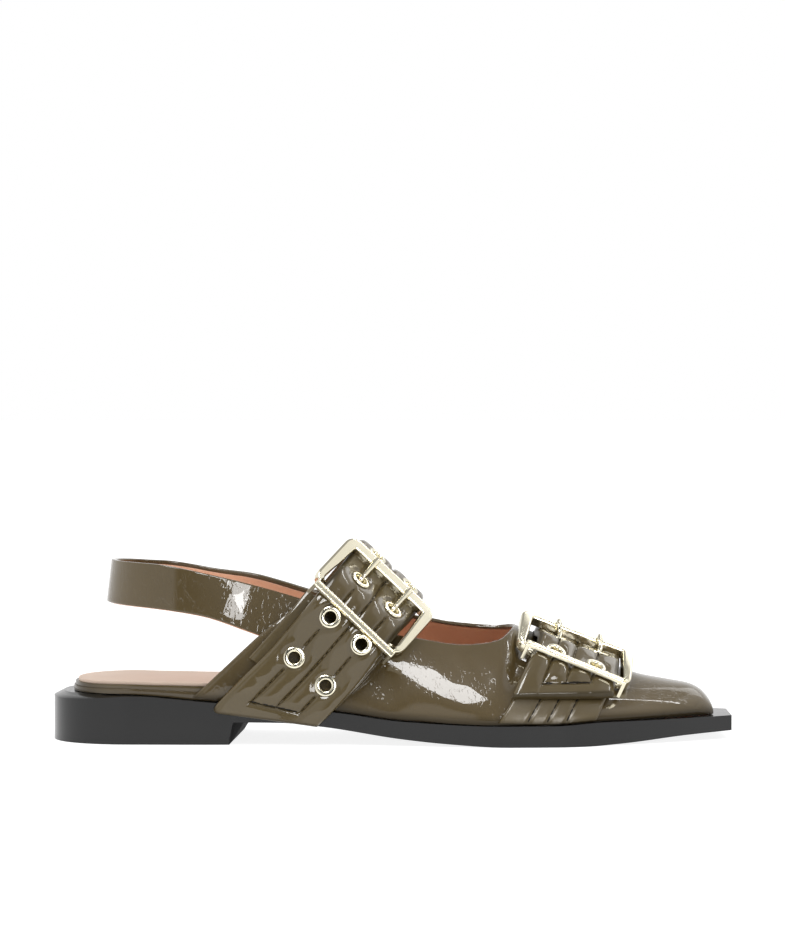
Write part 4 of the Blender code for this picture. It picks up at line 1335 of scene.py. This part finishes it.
def belt_height(belt, u, reach, box, rows):
    """Height of the padded face over the plain belt."""
    o = belt.offset(u)
    r = belt.run(u, reach)
    keys = np.unique(u.round(4))
    starts = np.array([belt.box_reach(key, box) for key in keys])
    inside = reach - np.interp(u, keys, starts)
    quilt = channel_height(o, belt.wide)
    border = BORDER_PUFF * ramp(*BORDER_RISE, np.abs(inside)) - GROOVE * np.exp(-((inside / BOX_HALF) ** 2))
    between = np.abs(o) < COLUMN + GROOVE_HALF
    quilt = np.where(between, np.minimum(quilt, BOX_LEVEL + quilt * ramp(*BOX_RUN, inside)), quilt)
    height = np.where(inside > 0, quilt, np.where(between, border, EDGE_PUFF))
    # Outside the box the swell fades into the plain border
    swell = ramp(*BORDER_FADE, inside)
    outer = quilt * swell + EDGE_PUFF * (1 - swell)
    height = np.where(between, height, outer)
    # The far bar presses the belt down, and small waves of the padding run between stitches
    height = height * (1 - BAR_PRESS * np.exp(-(((r - STATION) / PRESS_HALF) ** 2)))
    waves = WAVE * np.sin(0.9 * reach + 1.7 * np.sin(0.23 * o)) * np.cos(0.31 * o + 0.07 * reach)
    height = height + waves * ramp(*WAVE_RUN, inside)
    for place, spot in eyelet_spots(belt, rows):
        apart = np.hypot(o - belt.offset(place), reach - spot)
        height = EYELET_LEVEL + (height - EYELET_LEVEL) * ramp(*EYELET_FLAT, apart)
    return height


# %% A grid for each belt
ACROSS_STEPS = (0.22, 0.9)
ALONG_STEPS = (0.3, 0.85)
RIM_ROUND = 3.0
RIM_THIN = 0.6
TAIL_ROUND = 1.0
TAIL_THIN = 0.5

# Where the painted shade of cut edges fades: from the rim, from the tail's end, and beside the buckle's bars
RIM_SHADE = (0.5, 2.6)
TAIL_SHADE = (0.5, 1.8)
TAIL_SHADE_SHARE = 0.8
BAR_SHADE = (STATION - 1.0, STATION + 3.0)


def warp(marks, fine, coarse, length):
    """Places from 0 to length, close together near the marks."""
    at, places = 0.0, [0.0]
    while at < length:
        near = min(abs(at - m) for m in marks)
        at += fine + (coarse - fine) * min(near / 2.5, 1.0)
        places.append(at)
    places = np.array(places)
    return places * length / places[-1]


def quilted_belt(name, belt, box, rows):
    half = belt.wide / 2
    across = warp([0.0, half - COLUMN, half, half + COLUMN, belt.wide], *ACROSS_STEPS, belt.wide)
    span = belt.feather(belt.middle, math.pi - FOOT_ANGLE) - belt.tail_end(belt.middle)
    box_at = belt.box_reach(belt.middle, box) - belt.tail_end(belt.middle)
    along = warp([0.0, box_at], *ALONG_STEPS, span) / span
    thing, s, t = grid(name, len(across), len(along))
    o = np.interp(s, np.linspace(0, 1, len(across)), across) - half
    u = belt.place(o)
    keys = np.unique(u.round(5))
    low = np.interp(u, keys, [belt.tail_end(k) for k in keys])
    high = np.interp(u, keys, [belt.feather(k, math.pi - FOOT_ANGLE) for k in keys])
    reach = low + (high - low) * np.interp(t, np.linspace(0, 1, len(along)), along)
    height = BELT + belt_height(belt, u, reach, box, rows)
    height = height * (1 - RIM_THIN * edge_roll(half - np.abs(o), RIM_ROUND))
    height = height * (1 - TAIL_THIN * edge_roll(reach - low, TAIL_ROUND))
    # The holes are cut out of the flat grid before it gets its thickness
    holes = eyelet_spots(belt, rows)
    clear_faces(thing)
    for face in thing.data.polygons:
        ids = list(face.vertices)
        spot_o, spot_r = o[ids].mean(), reach[ids].mean()
        face.select = any(math.hypot(spot_o - belt.offset(p), spot_r - r) < HOLE_CUT for p, r in holes)
    used = np.zeros(len(s), bool)
    for face in thing.data.polygons:
        if not face.select:
            used[list(face.vertices)] = True
    bpy.ops.object.mode_set(mode="EDIT")
    bpy.ops.mesh.delete(type="FACE")
    close_edit()
    thicken(thing, 1.0, 1.0)
    rim = half - np.abs(o[used])
    u, reach, height = u[used], reach[used], height[used]
    put(thing, np.concatenate([belt.point(u, reach, 0.0), belt.point(u, reach, height)]))
    # Painted shade on the cut edges inside the buckle and at the tail's end
    framed = 1 - ramp(*BAR_SHADE, np.abs(belt.run(u, reach)))
    ends = TAIL_SHADE_SHARE * (1 - ramp(*TAIL_SHADE, reach - low[used]))
    mark_painted_shade(thing, np.tile(np.maximum((1 - ramp(*RIM_SHADE, rim)) * framed, ends), 2))
    soft_shade(thing, 50)
    return thing


for label, (belt, box, rows) in BELTS.items():
    padding = quilted_belt(f"{label}_belt", belt, box, rows)
    dress(padding, smooth_patent, "olive_patent", f"{label}_strap")

# %% [markdown]
# Under each tail lies a short strap that holds the buckle. The one at the instep is plain and shows as a
# narrow band behind the tail. The one at the toe runs down to the sole, and three slanted rows of
# stitches with a row across their tops hold it to the vamp. What shows through the eyelets gets painted
# shade, so that the holes look dark. Both are grids on the last, as the belts are.

# %% Buckle straps
BASE_BEHIND = -5.2
BASE_END = -50.0
TOE_BASE_WIDTH = (43.2, 81.3)
TOE_BASE_ROWS = (54.4, 62.0, 69.4)
TOE_BASE_TOP = 18.6
TOE_BASE_SLANT = 0.22
ROW_WIDE = 0.89
ROW_GROOVE = 0.55
ROW_HALF = 0.8
ROW_TOP = (-0.6, 0.2)
BASE_PUFF = 0.3
BASE_SHADE = 3.0
HOLE_SHADE = (3.0, 4.0)


def base_spot(belt, u, reach, lift, slant):
    """A point of a buckle strap, which leans back below the tail."""
    height = belt.stand(u, reach, BASE_LIFT)[:, 2]
    return belt.stand(u + slant * np.minimum(height - TOE_BASE_TOP, 0), reach, lift)


def base_strap(name, belt, width, foot, height, slant=0.0, round_off=1.2):
    """A thin strap from foot(u) up to the hinge bar; height(u, spots) raises its outer face."""
    thing, s, t = grid(name, 90, 60)
    u = width[0] + (width[1] - width[0]) * s
    keys = np.unique(u.round(5))
    low = np.interp(u, keys, [foot(k) for k in keys])
    high = belt.mid - STATION - BAR / 2 - 3 * GAP - belt.askew(u)
    reach = low + (high - low) * t
    wide = (width[1] - width[0]) * belt.wide / (belt.width[1] - belt.width[0])
    rim = wide * np.minimum(s, 1 - s)
    under_face = base_spot(belt, u, reach, BASE_LIFT, slant)
    thick = (BASE + height(u, under_face)) * (1 - RIM_THIN * edge_roll(rim, round_off))
    thicken(thing, 1.0, 1.0)
    put(thing, np.concatenate([under_face, base_spot(belt, u, reach, BASE_LIFT + thick, slant)]))
    return soft_shade(thing, 50)


def toe_base_height(u, spots):
    """Grooves along the slanted rows below their cross row."""
    row = np.min([np.abs(u - place) for place in TOE_BASE_ROWS], 0) * ROW_WIDE
    below = TOE_BASE_TOP - spots[:, 2]
    inside = (u > TOE_BASE_ROWS[0] - 1) & (u < TOE_BASE_ROWS[2] + 1)
    slanted = np.exp(-((row / ROW_HALF) ** 2)) * ramp(*ROW_TOP, below)
    across = np.exp(-((below / ROW_HALF) ** 2)) * inside
    return BASE_PUFF - ROW_GROOVE * np.maximum(slanted, across)


# %% Both buckle straps
instep_base = base_strap("instep_buckle_strap_leather", instep,
                         (INSTEP_WIDTH[0] + BASE_BEHIND, INSTEP_WIDTH[1]),
                         lambda k: max(instep.feather(k, FOOT_ANGLE), instep.mid + BASE_END),
                         lambda u, spots: np.zeros(len(u)), round_off=4.5)
# Painted shade on the strap where it shows through the instep eyelets
painted_hole_shade = np.zeros(len(instep_base.data.vertices))
for place, spot in eyelet_spots(instep, INSTEP_EYELETS):
    apart = places_of(instep_base) - instep.point(place, spot)
    axis = instep.normal(place, spot)
    aside = np.linalg.norm(apart - (apart @ axis)[:, None] * axis, axis=1)
    painted_hole_shade = np.maximum(painted_hole_shade, 1 - ramp(*HOLE_SHADE, aside))
mark_painted_shade(instep_base, painted_hole_shade)
dress(instep_base, smooth_patent, "olive_patent", "instep_buckle_strap")
toe_base = base_strap("toe_buckle_strap_leather", toe, TOE_BASE_WIDTH, lambda k: toe.feather(k, FOOT_ANGLE),
                      toe_base_height, TOE_BASE_SLANT)
# Painted shade at the foot of the toe's buckle strap, where it meets the sole
mark_painted_shade(toe_base, foot_share(toe_base, BASE_SHADE))
dress(toe_base, soft_patent, "olive_patent", "toe_buckle_strap")

# %% [markdown]
# The stitches are short lengths of dark thread that lie in the grooves. One stitch is a stretched sphere.
# It is copied along each row, turned to the row's direction, and all stitches of a belt become one mesh.
# An array along a curve could set them too, but the rows have to stop at the eyelets.

# %% Stitches
STITCH = 3.06
STITCH_PITCH = 3.1
THREAD_RADIUS = 0.34
THREAD_FLAT = 0.8
STITCH_SINK = 0.05
BASE_STITCH_SINK = 0.02


def along(at, length, path):
    """The point a given distance along a path."""
    return np.array([np.interp(at, length, path[:, k]) for k in range(3)])


def stitch_mesh(name, rows):
    """One mesh with a stitch every pitch along each row; a row is points and outward directions."""
    bpy.ops.object.select_all(action="DESELECT")
    bpy.ops.mesh.primitive_uv_sphere_add(segments=8, ring_count=6, radius=1.0)
    one = bpy.context.object
    shape = spots_of(one)
    faces = [tuple(p.vertices) for p in one.data.polygons]
    bpy.data.objects.remove(one, do_unlink=True)
    spots, polygons = [], []
    for path, outward in rows:
        length = distances(path)
        for at in np.arange(STITCH_PITCH / 2, length[-1], STITCH_PITCH):
            middle = along(at, length, path)
            way = unit(along(at + 1.0, length, path) - along(at - 1.0, length, path))
            out = along(at, length, outward)
            out = unit(out - way * np.dot(out, way))
            cross = np.cross(out, way)
            body = (shape[:, :1] * way * STITCH / 2 + shape[:, 1:2] * cross * THREAD_RADIUS
                    + shape[:, 2:] * out * THREAD_RADIUS * THREAD_FLAT)
            polygons += [tuple(i + len(spots) * len(shape) for i in face) for face in faces]
            spots.append(body + middle)
    mesh = bpy.data.meshes.new(name)
    mesh.from_pydata([tuple(p) for p in np.concatenate(spots) * MM + SHIFT], [], polygons)
    thing = bpy.data.objects.new(name, mesh)
    bpy.context.scene.collection.objects.link(thing)
    return soft_shade(thing, 60)


def belt_row(belt, u, reach, box, rows):
    """A row of stitches on a belt, skipping what lies under an eyelet."""
    depth = BELT + belt_height(belt, u, reach, box, rows) - STITCH_SINK
    keep = np.ones(len(u), bool)
    for place, spot in eyelet_spots(belt, rows):
        keep &= np.hypot(belt.offset(u) - belt.offset(place), reach - spot) > EYELET_FLAT[0]
    path, outward = belt.point(u, reach, depth), belt.normal(u, reach)
    cuts = np.flatnonzero(np.diff(keep.astype(int))) + 1
    parts = np.split(np.arange(len(u)), cuts)
    return [(path[part], outward[part]) for part in parts if keep[part[0]] and len(part) > 9]


def belt_stitches(name, belt, box, rows):
    lines = []
    for o in (-COLUMN, 0.0, COLUMN):
        u = belt.place(o)
        reach = np.arange(belt.box_reach(u, box), belt.feather(u, math.pi - FOOT_ANGLE) - 2.0, 0.25)
        lines += belt_row(belt, np.full(len(reach), u), reach, box, rows)
    u = belt.place(np.linspace(-COLUMN, COLUMN, 80))
    lines += belt_row(belt, u, np.array([belt.box_reach(k, box) for k in u]), box, rows)
    return dress(stitch_mesh(name, lines), thread, "olive_patent")


for label, (belt, box, rows) in BELTS.items():
    belt_stitches(f"{label}_belt_stitches", belt, box, rows)


# %% Stitches of the toe's buckle strap
def base_line(u, reach):
    spots = toe.stand(u, reach, BASE_LIFT)
    keep = spots[:, 2] < TOE_BASE_TOP + 0.05
    u, reach, spots = u[keep], reach[keep], spots[keep]
    lift = BASE_LIFT + BASE + toe_base_height(u, spots) - BASE_STITCH_SINK
    return base_spot(toe, u, reach, lift, TOE_BASE_SLANT), last_normal(u, toe.angle(u, reach))


def base_stitches(name):
    tries = np.arange(-62, -20, 0.25)
    lines = []
    for place in TOE_BASE_ROWS:
        reach = tries[tries > toe.feather(place, FOOT_ANGLE) + 0.5]
        lines.append(base_line(np.full(len(reach), place), reach))
    u = np.linspace(TOE_BASE_ROWS[0], TOE_BASE_ROWS[2], 60)
    heights = [toe.stand(np.full(len(tries), k), tries, BASE_LIFT)[:, 2] for k in u]
    lines.append(base_line(u, np.array([np.interp(TOE_BASE_TOP, height, tries) for height in heights])))
    return dress(stitch_mesh(name, lines), thread, "olive_patent")


base_stitches("toe_buckle_strap_stitches")

# %% [markdown]
# A buckle is a cast frame with soft edges. A plane is cut to size, its corners are rounded, an inset
# gives the rails their width, and the ring that is left is thickened and bevelled. The hinge bar lies
# lower than the rest, so that the belt can pass over it, and the rails arch a little. A bevelled curve
# would give a ring too, but its bars would all be alike.

# %% Buckle frames
CAST_RAIL = 4.8
CAST_BAR = 4.8
CAST_TOP = 2.0
CAST_DEEP = 4.4
CAST_TAPER = 1.2
CAST_ARCH = 0.5
CAST_ROUND = 1.0
BAR_RUN = 2.0
HINGE_ENDS = (0.3, -1.2)
NOTCH = 0.25
NOTCH_HALF = 1.15
CORNER_ROUND = 5.2
BAR_CUTS = (-18.0, -16.0, 16.0, 18.0)
RAIL_CUTS = (-6.0, -2.0, 2.0, 6.0)
FRAME_WIDTHS = {"instep": 46.5, "toe": 48.4}


def frame_mesh(name, belt, wide):
    bpy.ops.object.select_all(action="DESELECT")
    bpy.ops.mesh.primitive_plane_add(size=1)
    thing = named(name)
    edit_all(thing)
    bpy.ops.transform.resize(value=(wide * MM, FRAME_LONG * MM, 1))
    bpy.ops.mesh.bevel(offset=CORNER_ROUND * MM, segments=8, affect="VERTICES")
    bpy.ops.mesh.select_all(action="SELECT")
    bpy.ops.mesh.inset(thickness=CAST_RAIL * MM)
    bpy.ops.mesh.delete(type="FACE")
    close_edit()
    # The far bar is wider than the rails, which taper towards the hinge
    spots = spots_of(thing) / MM
    half = FRAME_LONG / 2
    window = np.abs(spots[:, 1]) < half - CAST_RAIL + 0.01
    window &= np.abs(spots[:, 0]) < wide / 2 - CAST_RAIL + 0.01
    far = window & (spots[:, 1] > 0)
    near = window & (spots[:, 1] < 0)
    spots[far, 1] *= (half - CAST_BAR) / (half - CAST_RAIL)
    spots[near, 1] *= (half - BAR) / (half - CAST_RAIL)
    spots[near, 0] *= 1 + CAST_TAPER / (wide / 2 - CAST_RAIL)
    thing.data.vertices.foreach_set("co", (spots * MM).ravel())
    thicken(thing, CAST_DEEP, 0.0)
    face_out(thing)
    # Cuts across the bars give the notches, the lower hinge and the arch enough corners
    cuts = [side * (COLUMN + k * NOTCH_HALF / 2) for side in (-1, 1) for k in (-3, -2, -1, 0, 1, 2, 3)]
    planes = [((x * MM, 0, 0), (1, 0, 0)) for x in (*cuts, *BAR_CUTS)]
    planes += [((0, y * MM, 0), (0, 1, 0)) for y in RAIL_CUTS]
    for spot, way in planes:
        slice_across(thing, spot, way)
    bevel(thing, CAST_ROUND, 4, 50)
    spots = spots_of(thing) / MM
    spots[:, 2] += CAST_TOP - CAST_DEEP / 2
    upper_part = ramp(CAST_TOP - CAST_DEEP, CAST_TOP, spots[:, 2])
    inner = wide / 2 - CAST_RAIL + CAST_TAPER
    low = ramp(-half + BAR + BAR_RUN, -half + BAR, spots[:, 1])
    low = low * ramp(inner + HINGE_ENDS[0], inner + HINGE_ENDS[1], np.abs(spots[:, 0]))
    spots[:, 2] -= (CAST_TOP - FRAME_DEEP / 2 + HINGE_DROP) * low * upper_part
    on_far_bar = ramp(half - CAST_BAR - BAR_RUN, half - CAST_BAR, spots[:, 1])
    notch = np.exp(-(((np.abs(spots[:, 0]) - COLUMN) / NOTCH_HALF) ** 4)) * on_far_bar
    spots[:, 2] -= NOTCH * notch * upper_part
    spots[:, 2] += CAST_ARCH * (1 - (spots[:, 1] / half) ** 2) * (1 - low)
    thing.data.vertices.foreach_set("co", (spots * MM).ravel())
    thing.data.transform(belt.matrix())
    thing.data.update()
    return flat_faces(thing, 50)


for label, (belt, box, rows) in BELTS.items():
    cast = frame_mesh(f"{label}_buckle", belt, FRAME_WIDTHS[label])
    dress(cast, plating, "pale_gold_metal", f"{label}_buckle_frame")

# %% [markdown]
# The keeper is a flat bar across the belt, just below the frame, with its ends bent down round the belt's
# edges. Its face is a shallow panel with a raised rim, and the panel at the instep gets a darker copy of
# the plating: painted shade in its recess. A cube is stretched, cut near both ends by bisect, and the two
# lower end faces are extruded down. A strip could be bent as well, but its small bends would hardly show.

# %% Keepers
# Distance from the buckle's middle along the belt, and turn in degrees
KEEPER_PLACES = {"instep": (-FRAME_LONG / 2 - 3.6, 0.0), "toe": (-FRAME_LONG / 2 - 4.6, -3.0)}
KEEPER_WIDE = 3.2
KEEPER_DEEP = 1.5
KEEPER_DROP = 6.0
KEEPER_ROOM = 1.5
KEEPER_GAP = 0.2
KEEPER_ROUND = 0.18
CROWN_REACH = 6.0
PANEL_RIM = 0.65
PANEL_DEEP = 0.45
PANEL_LOOKS = {"instep": shaded_plating, "toe": plating}


def belt_crown(belt, place, box, rows):
    """Height over the buckle's middle of the highest bit of belt near a place along it."""
    half = belt.wide / 2
    runs = np.linspace(place - CROWN_REACH, place + CROWN_REACH, 60)
    o, run = np.meshgrid(np.linspace(-half, half, 37), runs)
    u = belt.place(o.ravel())
    reach = belt.mid + run.ravel()
    spots = belt.point(u, reach, BELT + belt_height(belt, u, reach, box, rows)) - belt.centre
    near = np.abs(spots @ belt.along - place) < KEEPER_WIDE / 2
    return float((spots[near] @ belt.out).max())


def keeper_mesh(name, belt, place, turn, low, panel):
    half = belt.wide / 2 + KEEPER_ROOM
    bpy.ops.object.select_all(action="DESELECT")
    bpy.ops.mesh.primitive_cube_add(size=1)
    thing = named(name)
    size = Matrix.Diagonal((2 * (half + KEEPER_DEEP) * MM, KEEPER_WIDE * MM, KEEPER_DEEP * MM, 1))
    thing.data.transform(Matrix.Translation((0, 0, (low + KEEPER_DEEP / 2) * MM)) @ size)
    for end in (-half, half):
        slice_across(thing, (end * MM, 0, 0), (1, 0, 0))
    choose_faces(thing, lambda spot, way: way.z < -SQUARE and abs(spot.x) > half)
    bpy.ops.mesh.extrude_region_move(TRANSFORM_OT_translate={"value": (0, 0, -KEEPER_DROP * MM)})
    close_edit()
    choose_faces(thing, lambda spot, way: way.z > SQUARE)
    bpy.ops.mesh.inset(thickness=PANEL_RIM * MM)
    bpy.ops.mesh.extrude_region_move(TRANSFORM_OT_translate={"value": (0, 0, -PANEL_DEEP * MM)})
    close_edit()
    thing.data.materials.append(plating)
    thing.data.materials.append(panel)
    for face in thing.data.polygons:
        face.material_index = int(face.select)
    bevel(thing, KEEPER_ROUND, 3, 30)
    spin = Matrix.Translation((0, place * MM, 0)) @ Matrix.Rotation(math.radians(turn), 4, "Z")
    thing.data.transform(belt.matrix() @ spin)
    thing.data.update()
    return flat_faces(thing, 50)


for label, (belt, box, rows) in BELTS.items():
    place, turn = KEEPER_PLACES[label]
    low = belt_crown(belt, place, box, rows) + KEEPER_GAP
    print(label, "keeper stands", round(low, 2), "mm over the buckle's middle")
    bar = keeper_mesh(f"{label}_keeper_bar", belt, place, turn, low, PANEL_LOOKS[label])
    dress(bar, plating, "pale_gold_metal", f"{label}_keeper")

# %% [markdown]
# A prong is a round wire: from the hinge bar it runs under the belt, comes up through its eyelet and
# rests on the far bar. A curve with a round bevel is the natural way, and it is turned into a mesh at
# once.

# %% Prongs
PRONG_RADIUS = 1.0
PRONG_START = -0.5
PRONG_CLEAR = 0.15

# Near the eyelet: distance from it along the belt, and height over the belt's under face
PRONG_PATH = ((-5.0, -1.6), (-1.2, -0.4), (0.1, BELT + 0.9), (3.0, BELT + 2.5))


def prong_mesh(name, belt, offset):
    u = belt.place(offset)
    hole = belt.row(0, offset)
    rest = CAST_TOP - NOTCH + PRONG_RADIUS + PRONG_CLEAR
    path = [belt.local(offset, -STATION + BAR / 2 + GAP, PRONG_START)]
    path += [belt.point(u, hole + away, height) for away, height in PRONG_PATH]
    path.append(belt.local(offset, STATION - CAST_BAR / 2 - 0.5, rest + 0.1))
    path.append(belt.local(offset, STATION + 0.3, rest - 0.1))
    curve = bpy.data.curves.new(name, "CURVE")
    curve.dimensions = "3D"
    curve.resolution_u = 6
    curve.bevel_depth = PRONG_RADIUS * MM
    curve.bevel_resolution = 4
    curve.use_fill_caps = True
    line = curve.splines.new("BEZIER")
    line.bezier_points.add(len(path) - 1)
    for knot, spot in zip(line.bezier_points, path):
        knot.co = Vector(spot * MM + SHIFT)
        knot.handle_left_type = "AUTO"
        knot.handle_right_type = "AUTO"
    thing = bpy.data.objects.new(name, curve)
    bpy.context.scene.collection.objects.link(thing)
    pick(thing)
    bpy.ops.object.convert(target="MESH")
    return soft_shade(weld(bpy.context.object), 50)


for label, (belt, box, rows) in BELTS.items():
    for end, offset in SIDES:
        dress(prong_mesh(f"{label}_prong_wire_{end}", belt, offset), plating, "pale_gold_metal",
              f"{label}_prong_{end}")

# %% [markdown]
# An eyelet is a turned ring: a rounded flange that lies on the belt and a barrel that goes down through
# the hole. A profile is laid on a circle primitive and spun round the axis. A torus would be quicker, but
# it has no barrel.

# %% Eyelets
EYELET_RADIUS = 4.35
EYELET_HOLE = 2.35
BARREL_WALL = 0.35
BARREL_SHORT = 0.3

# Section of the flange: radius, and height over the flattened padding
FLANGE = (
    (4.22, -0.1), (EYELET_RADIUS, 0.12), (4.28, 0.36), (4.1, 0.52), (3.8, 0.59),
    (3.2, 0.63), (2.8, 0.60), (2.52, 0.48), (2.38, 0.25),
)


def eyelet_mesh(name, belt, offset, reach):
    barrel, foot = EYELET_HOLE + BARREL_WALL, -BELT + BARREL_SHORT
    profile = [(EYELET_HOLE, foot), (barrel, foot), (barrel, EYELET_LEVEL + FLANGE[0][1])]
    profile += [(radius, EYELET_LEVEL + height) for radius, height in FLANGE]
    bpy.ops.object.select_all(action="DESELECT")
    bpy.ops.mesh.primitive_circle_add(vertices=len(profile))
    thing = named(name)
    flat = np.array([(r * MM, 0.0, z * MM) for r, z in profile])
    thing.data.vertices.foreach_set("co", flat.ravel())
    edit_all(thing)
    bpy.ops.mesh.spin(steps=40, angle=2 * math.pi, center=(0, 0, 0), axis=(0, 0, 1))
    weld(thing)
    u = belt.place(offset)
    normal = belt.normal(u, reach)
    spot = belt.point(u, reach, BELT)
    turn = Vector(normal).to_track_quat("Z", "Y").to_matrix().to_4x4()
    thing.data.transform(Matrix.Translation(Vector(spot * MM + SHIFT)) @ turn)
    thing.data.update()
    return soft_shade(thing, 40)


for label, (belt, box, rows) in BELTS.items():
    for row, steps in rows:
        for end, offset in SIDES:
            ring = eyelet_mesh(f"{label}_ring_{row}_{end}", belt, offset, belt.row(steps, offset))
            dress(ring, plating, "pale_gold_metal", f"{label}_eyelet_{row}_{end}")

# %% [markdown]
# The camera stands where the photographer's did: on the outer side, a little above the shoe, with a long
# lens. The floor is a plain white sheet that ends in front of the shoe, and the light is a white studio
# that is darker on the camera's side. A few soft boxes draw the highlights and show only in reflections,
# and one broad box from above lights the matt surfaces alone.

# %% Camera
CAMERA_BACK = 1.600
CAMERA_HIGH = 0.165
CAMERA_DOWN = 2.089
FOCAL_PIXELS = 3982.0
PHOTO_HIGH = 944
SENSOR = 36.0

camera_data = bpy.data.cameras.new("camera")
camera = bpy.data.objects.new("camera", camera_data)
bpy.context.scene.collection.objects.link(camera)
camera.location = (0.0, -CAMERA_BACK, CAMERA_HIGH)
camera.rotation_euler = (math.radians(90 - CAMERA_DOWN), 0.0, 0.0)
camera_data.sensor_fit = "VERTICAL"
camera_data.sensor_height = SENSOR
camera_data.lens = FOCAL_PIXELS / PHOTO_HIGH * SENSOR
bpy.context.scene.camera = camera
bpy.context.scene.view_settings.view_transform = "Standard"
print("camera lens", round(camera_data.lens, 1), "mm")

# %% Floor
FLOOR_SIZE = 6.0
FLOOR_FRONT = -0.62
FLOOR_TONE = 0.35
FLOOR_GLOW = 0.86

bpy.ops.object.select_all(action="DESELECT")
bpy.ops.mesh.primitive_plane_add(size=FLOOR_SIZE, location=(0, FLOOR_FRONT + FLOOR_SIZE / 2, 0))
bpy.ops.object.transform_apply(location=True, rotation=True, scale=True)
floor = bpy.context.object
floor.name = "floor"
floor_look = bpy.data.materials.new("floor_white")
floor_look.use_nodes = True
floor_shader = floor_look.node_tree.nodes["Principled BSDF"]
floor_shader.inputs["Base Color"].default_value = (FLOOR_TONE, FLOOR_TONE, FLOOR_TONE, 1)
floor_shader.inputs["Roughness"].default_value = 0.9
floor_shader.inputs["Emission Color"].default_value = (1, 1, 1, 1)
floor_shader.inputs["Emission Strength"].default_value = FLOOR_GLOW
floor.data.materials.append(floor_look)
print("floor in front of the shoe, in m:", -FLOOR_FRONT)

# %% Studio light
# Parts of the room: where each starts and ends along an axis, and its brightness at both
WALLS = (-0.75, -0.40, 0.05, 1.0)
CEILING = (0.20, 0.75, 1.0, 0.40)
SIDE_WALLS = (0.35, 0.60, 0.0, 1.0)
LEFT_WALL = (-0.08, -0.26, 0.0, 0.95)
LEFT_TOP = (0.36, 0.46, 1.0, 0.0)
DOME = (0.80, 0.93, 0.0, 0.40)

# Power of a soft box for each square metre and step of brightness, and the height that the boxes aim at
BOX_POWER = 4
BOX_AIM = 0.05


def studio():
    """White walls under a dim ceiling, a dark room behind the camera; the camera sees plain white."""
    world = bpy.data.worlds.new("studio")
    bpy.context.scene.world = world
    world.use_nodes = True
    tree = world.node_tree
    tree.nodes.clear()
    where = tree.nodes.new("ShaderNodeTexCoord").outputs["Generated"]
    apart = tree.nodes.new("ShaderNodeSeparateXYZ")
    tree.links.new(where, apart.inputs[0])
    x, y, z = (apart.outputs[label] for label in "XYZ")
    walls = map_range(tree, y, *WALLS)
    ceiling = map_range(tree, z, *CEILING)
    sides = map_range(tree, math_node(tree, "ABSOLUTE", x), *SIDE_WALLS)
    shell = math_node(tree, "MULTIPLY", walls, math_node(tree, "MAXIMUM", ceiling, sides))
    left_wall = map_range(tree, x, *LEFT_WALL)
    left = math_node(tree, "MULTIPLY", left_wall, map_range(tree, z, *LEFT_TOP))
    dome = map_range(tree, z, *DOME)
    room = math_node(tree, "MAXIMUM", math_node(tree, "MAXIMUM", shell, left), dome)
    seen = tree.nodes.new("ShaderNodeLightPath").outputs["Is Camera Ray"]
    back = tree.nodes.new("ShaderNodeBackground")
    back.inputs["Color"].default_value = (1, 1, 1, 1)
    tree.links.new(math_node(tree, "MAXIMUM", room, seen), back.inputs["Strength"])
    out = tree.nodes.new("ShaderNodeOutputWorld")
    tree.links.new(back.outputs[0], out.inputs["Surface"])


def soft_box(name, turn, rise, away, wide, high, brightness, tilt=0.0, shiny=True):
    """A box that faces the shoe: turn from the camera to the right and rise over the floor in degrees."""
    light = bpy.data.lights.new(name, "AREA")
    light.shape = "RECTANGLE"
    light.size, light.size_y = wide, high
    light.energy = BOX_POWER * wide * high * brightness
    thing = bpy.data.objects.new(name, light)
    bpy.context.scene.collection.objects.link(thing)
    turn, rise = math.radians(turn), math.radians(rise)
    way = Vector((math.sin(turn) * math.cos(rise), -math.cos(turn) * math.cos(rise), math.sin(rise)))
    thing.location = way * away + Vector((0, 0, BOX_AIM))
    aim = (-way).to_track_quat("-Z", "Y").to_matrix() @ Matrix.Rotation(math.radians(tilt), 3, "Z")
    thing.rotation_euler = aim.to_euler()
    thing.visible_diffuse = not shiny
    thing.visible_glossy = shiny
    return thing


studio()

# Turn, rise, distance, width, height, brightness, tilt
soft_box("right_box_high", 23, 20, 1.6, 0.5, 0.45, 9.0, -10)
soft_box("right_box_low", 17, 12, 1.6, 0.35, 0.27, 9.0, 24)
soft_box("top_box", -20, 54, 1.3, 0.43, 0.7, 12.0, 43)
soft_box("toe_strip", 110, 50, 1.4, 0.05, 1.1, 12.0, -60)
soft_box("rail_box", 142, 34, 1.4, 0.6, 0.45, 1.15)
soft_box("fill", 0, 80, 2.0, 3.0, 3.0, 1.15, shiny=False)
print("soft boxes:", len(bpy.data.lights))
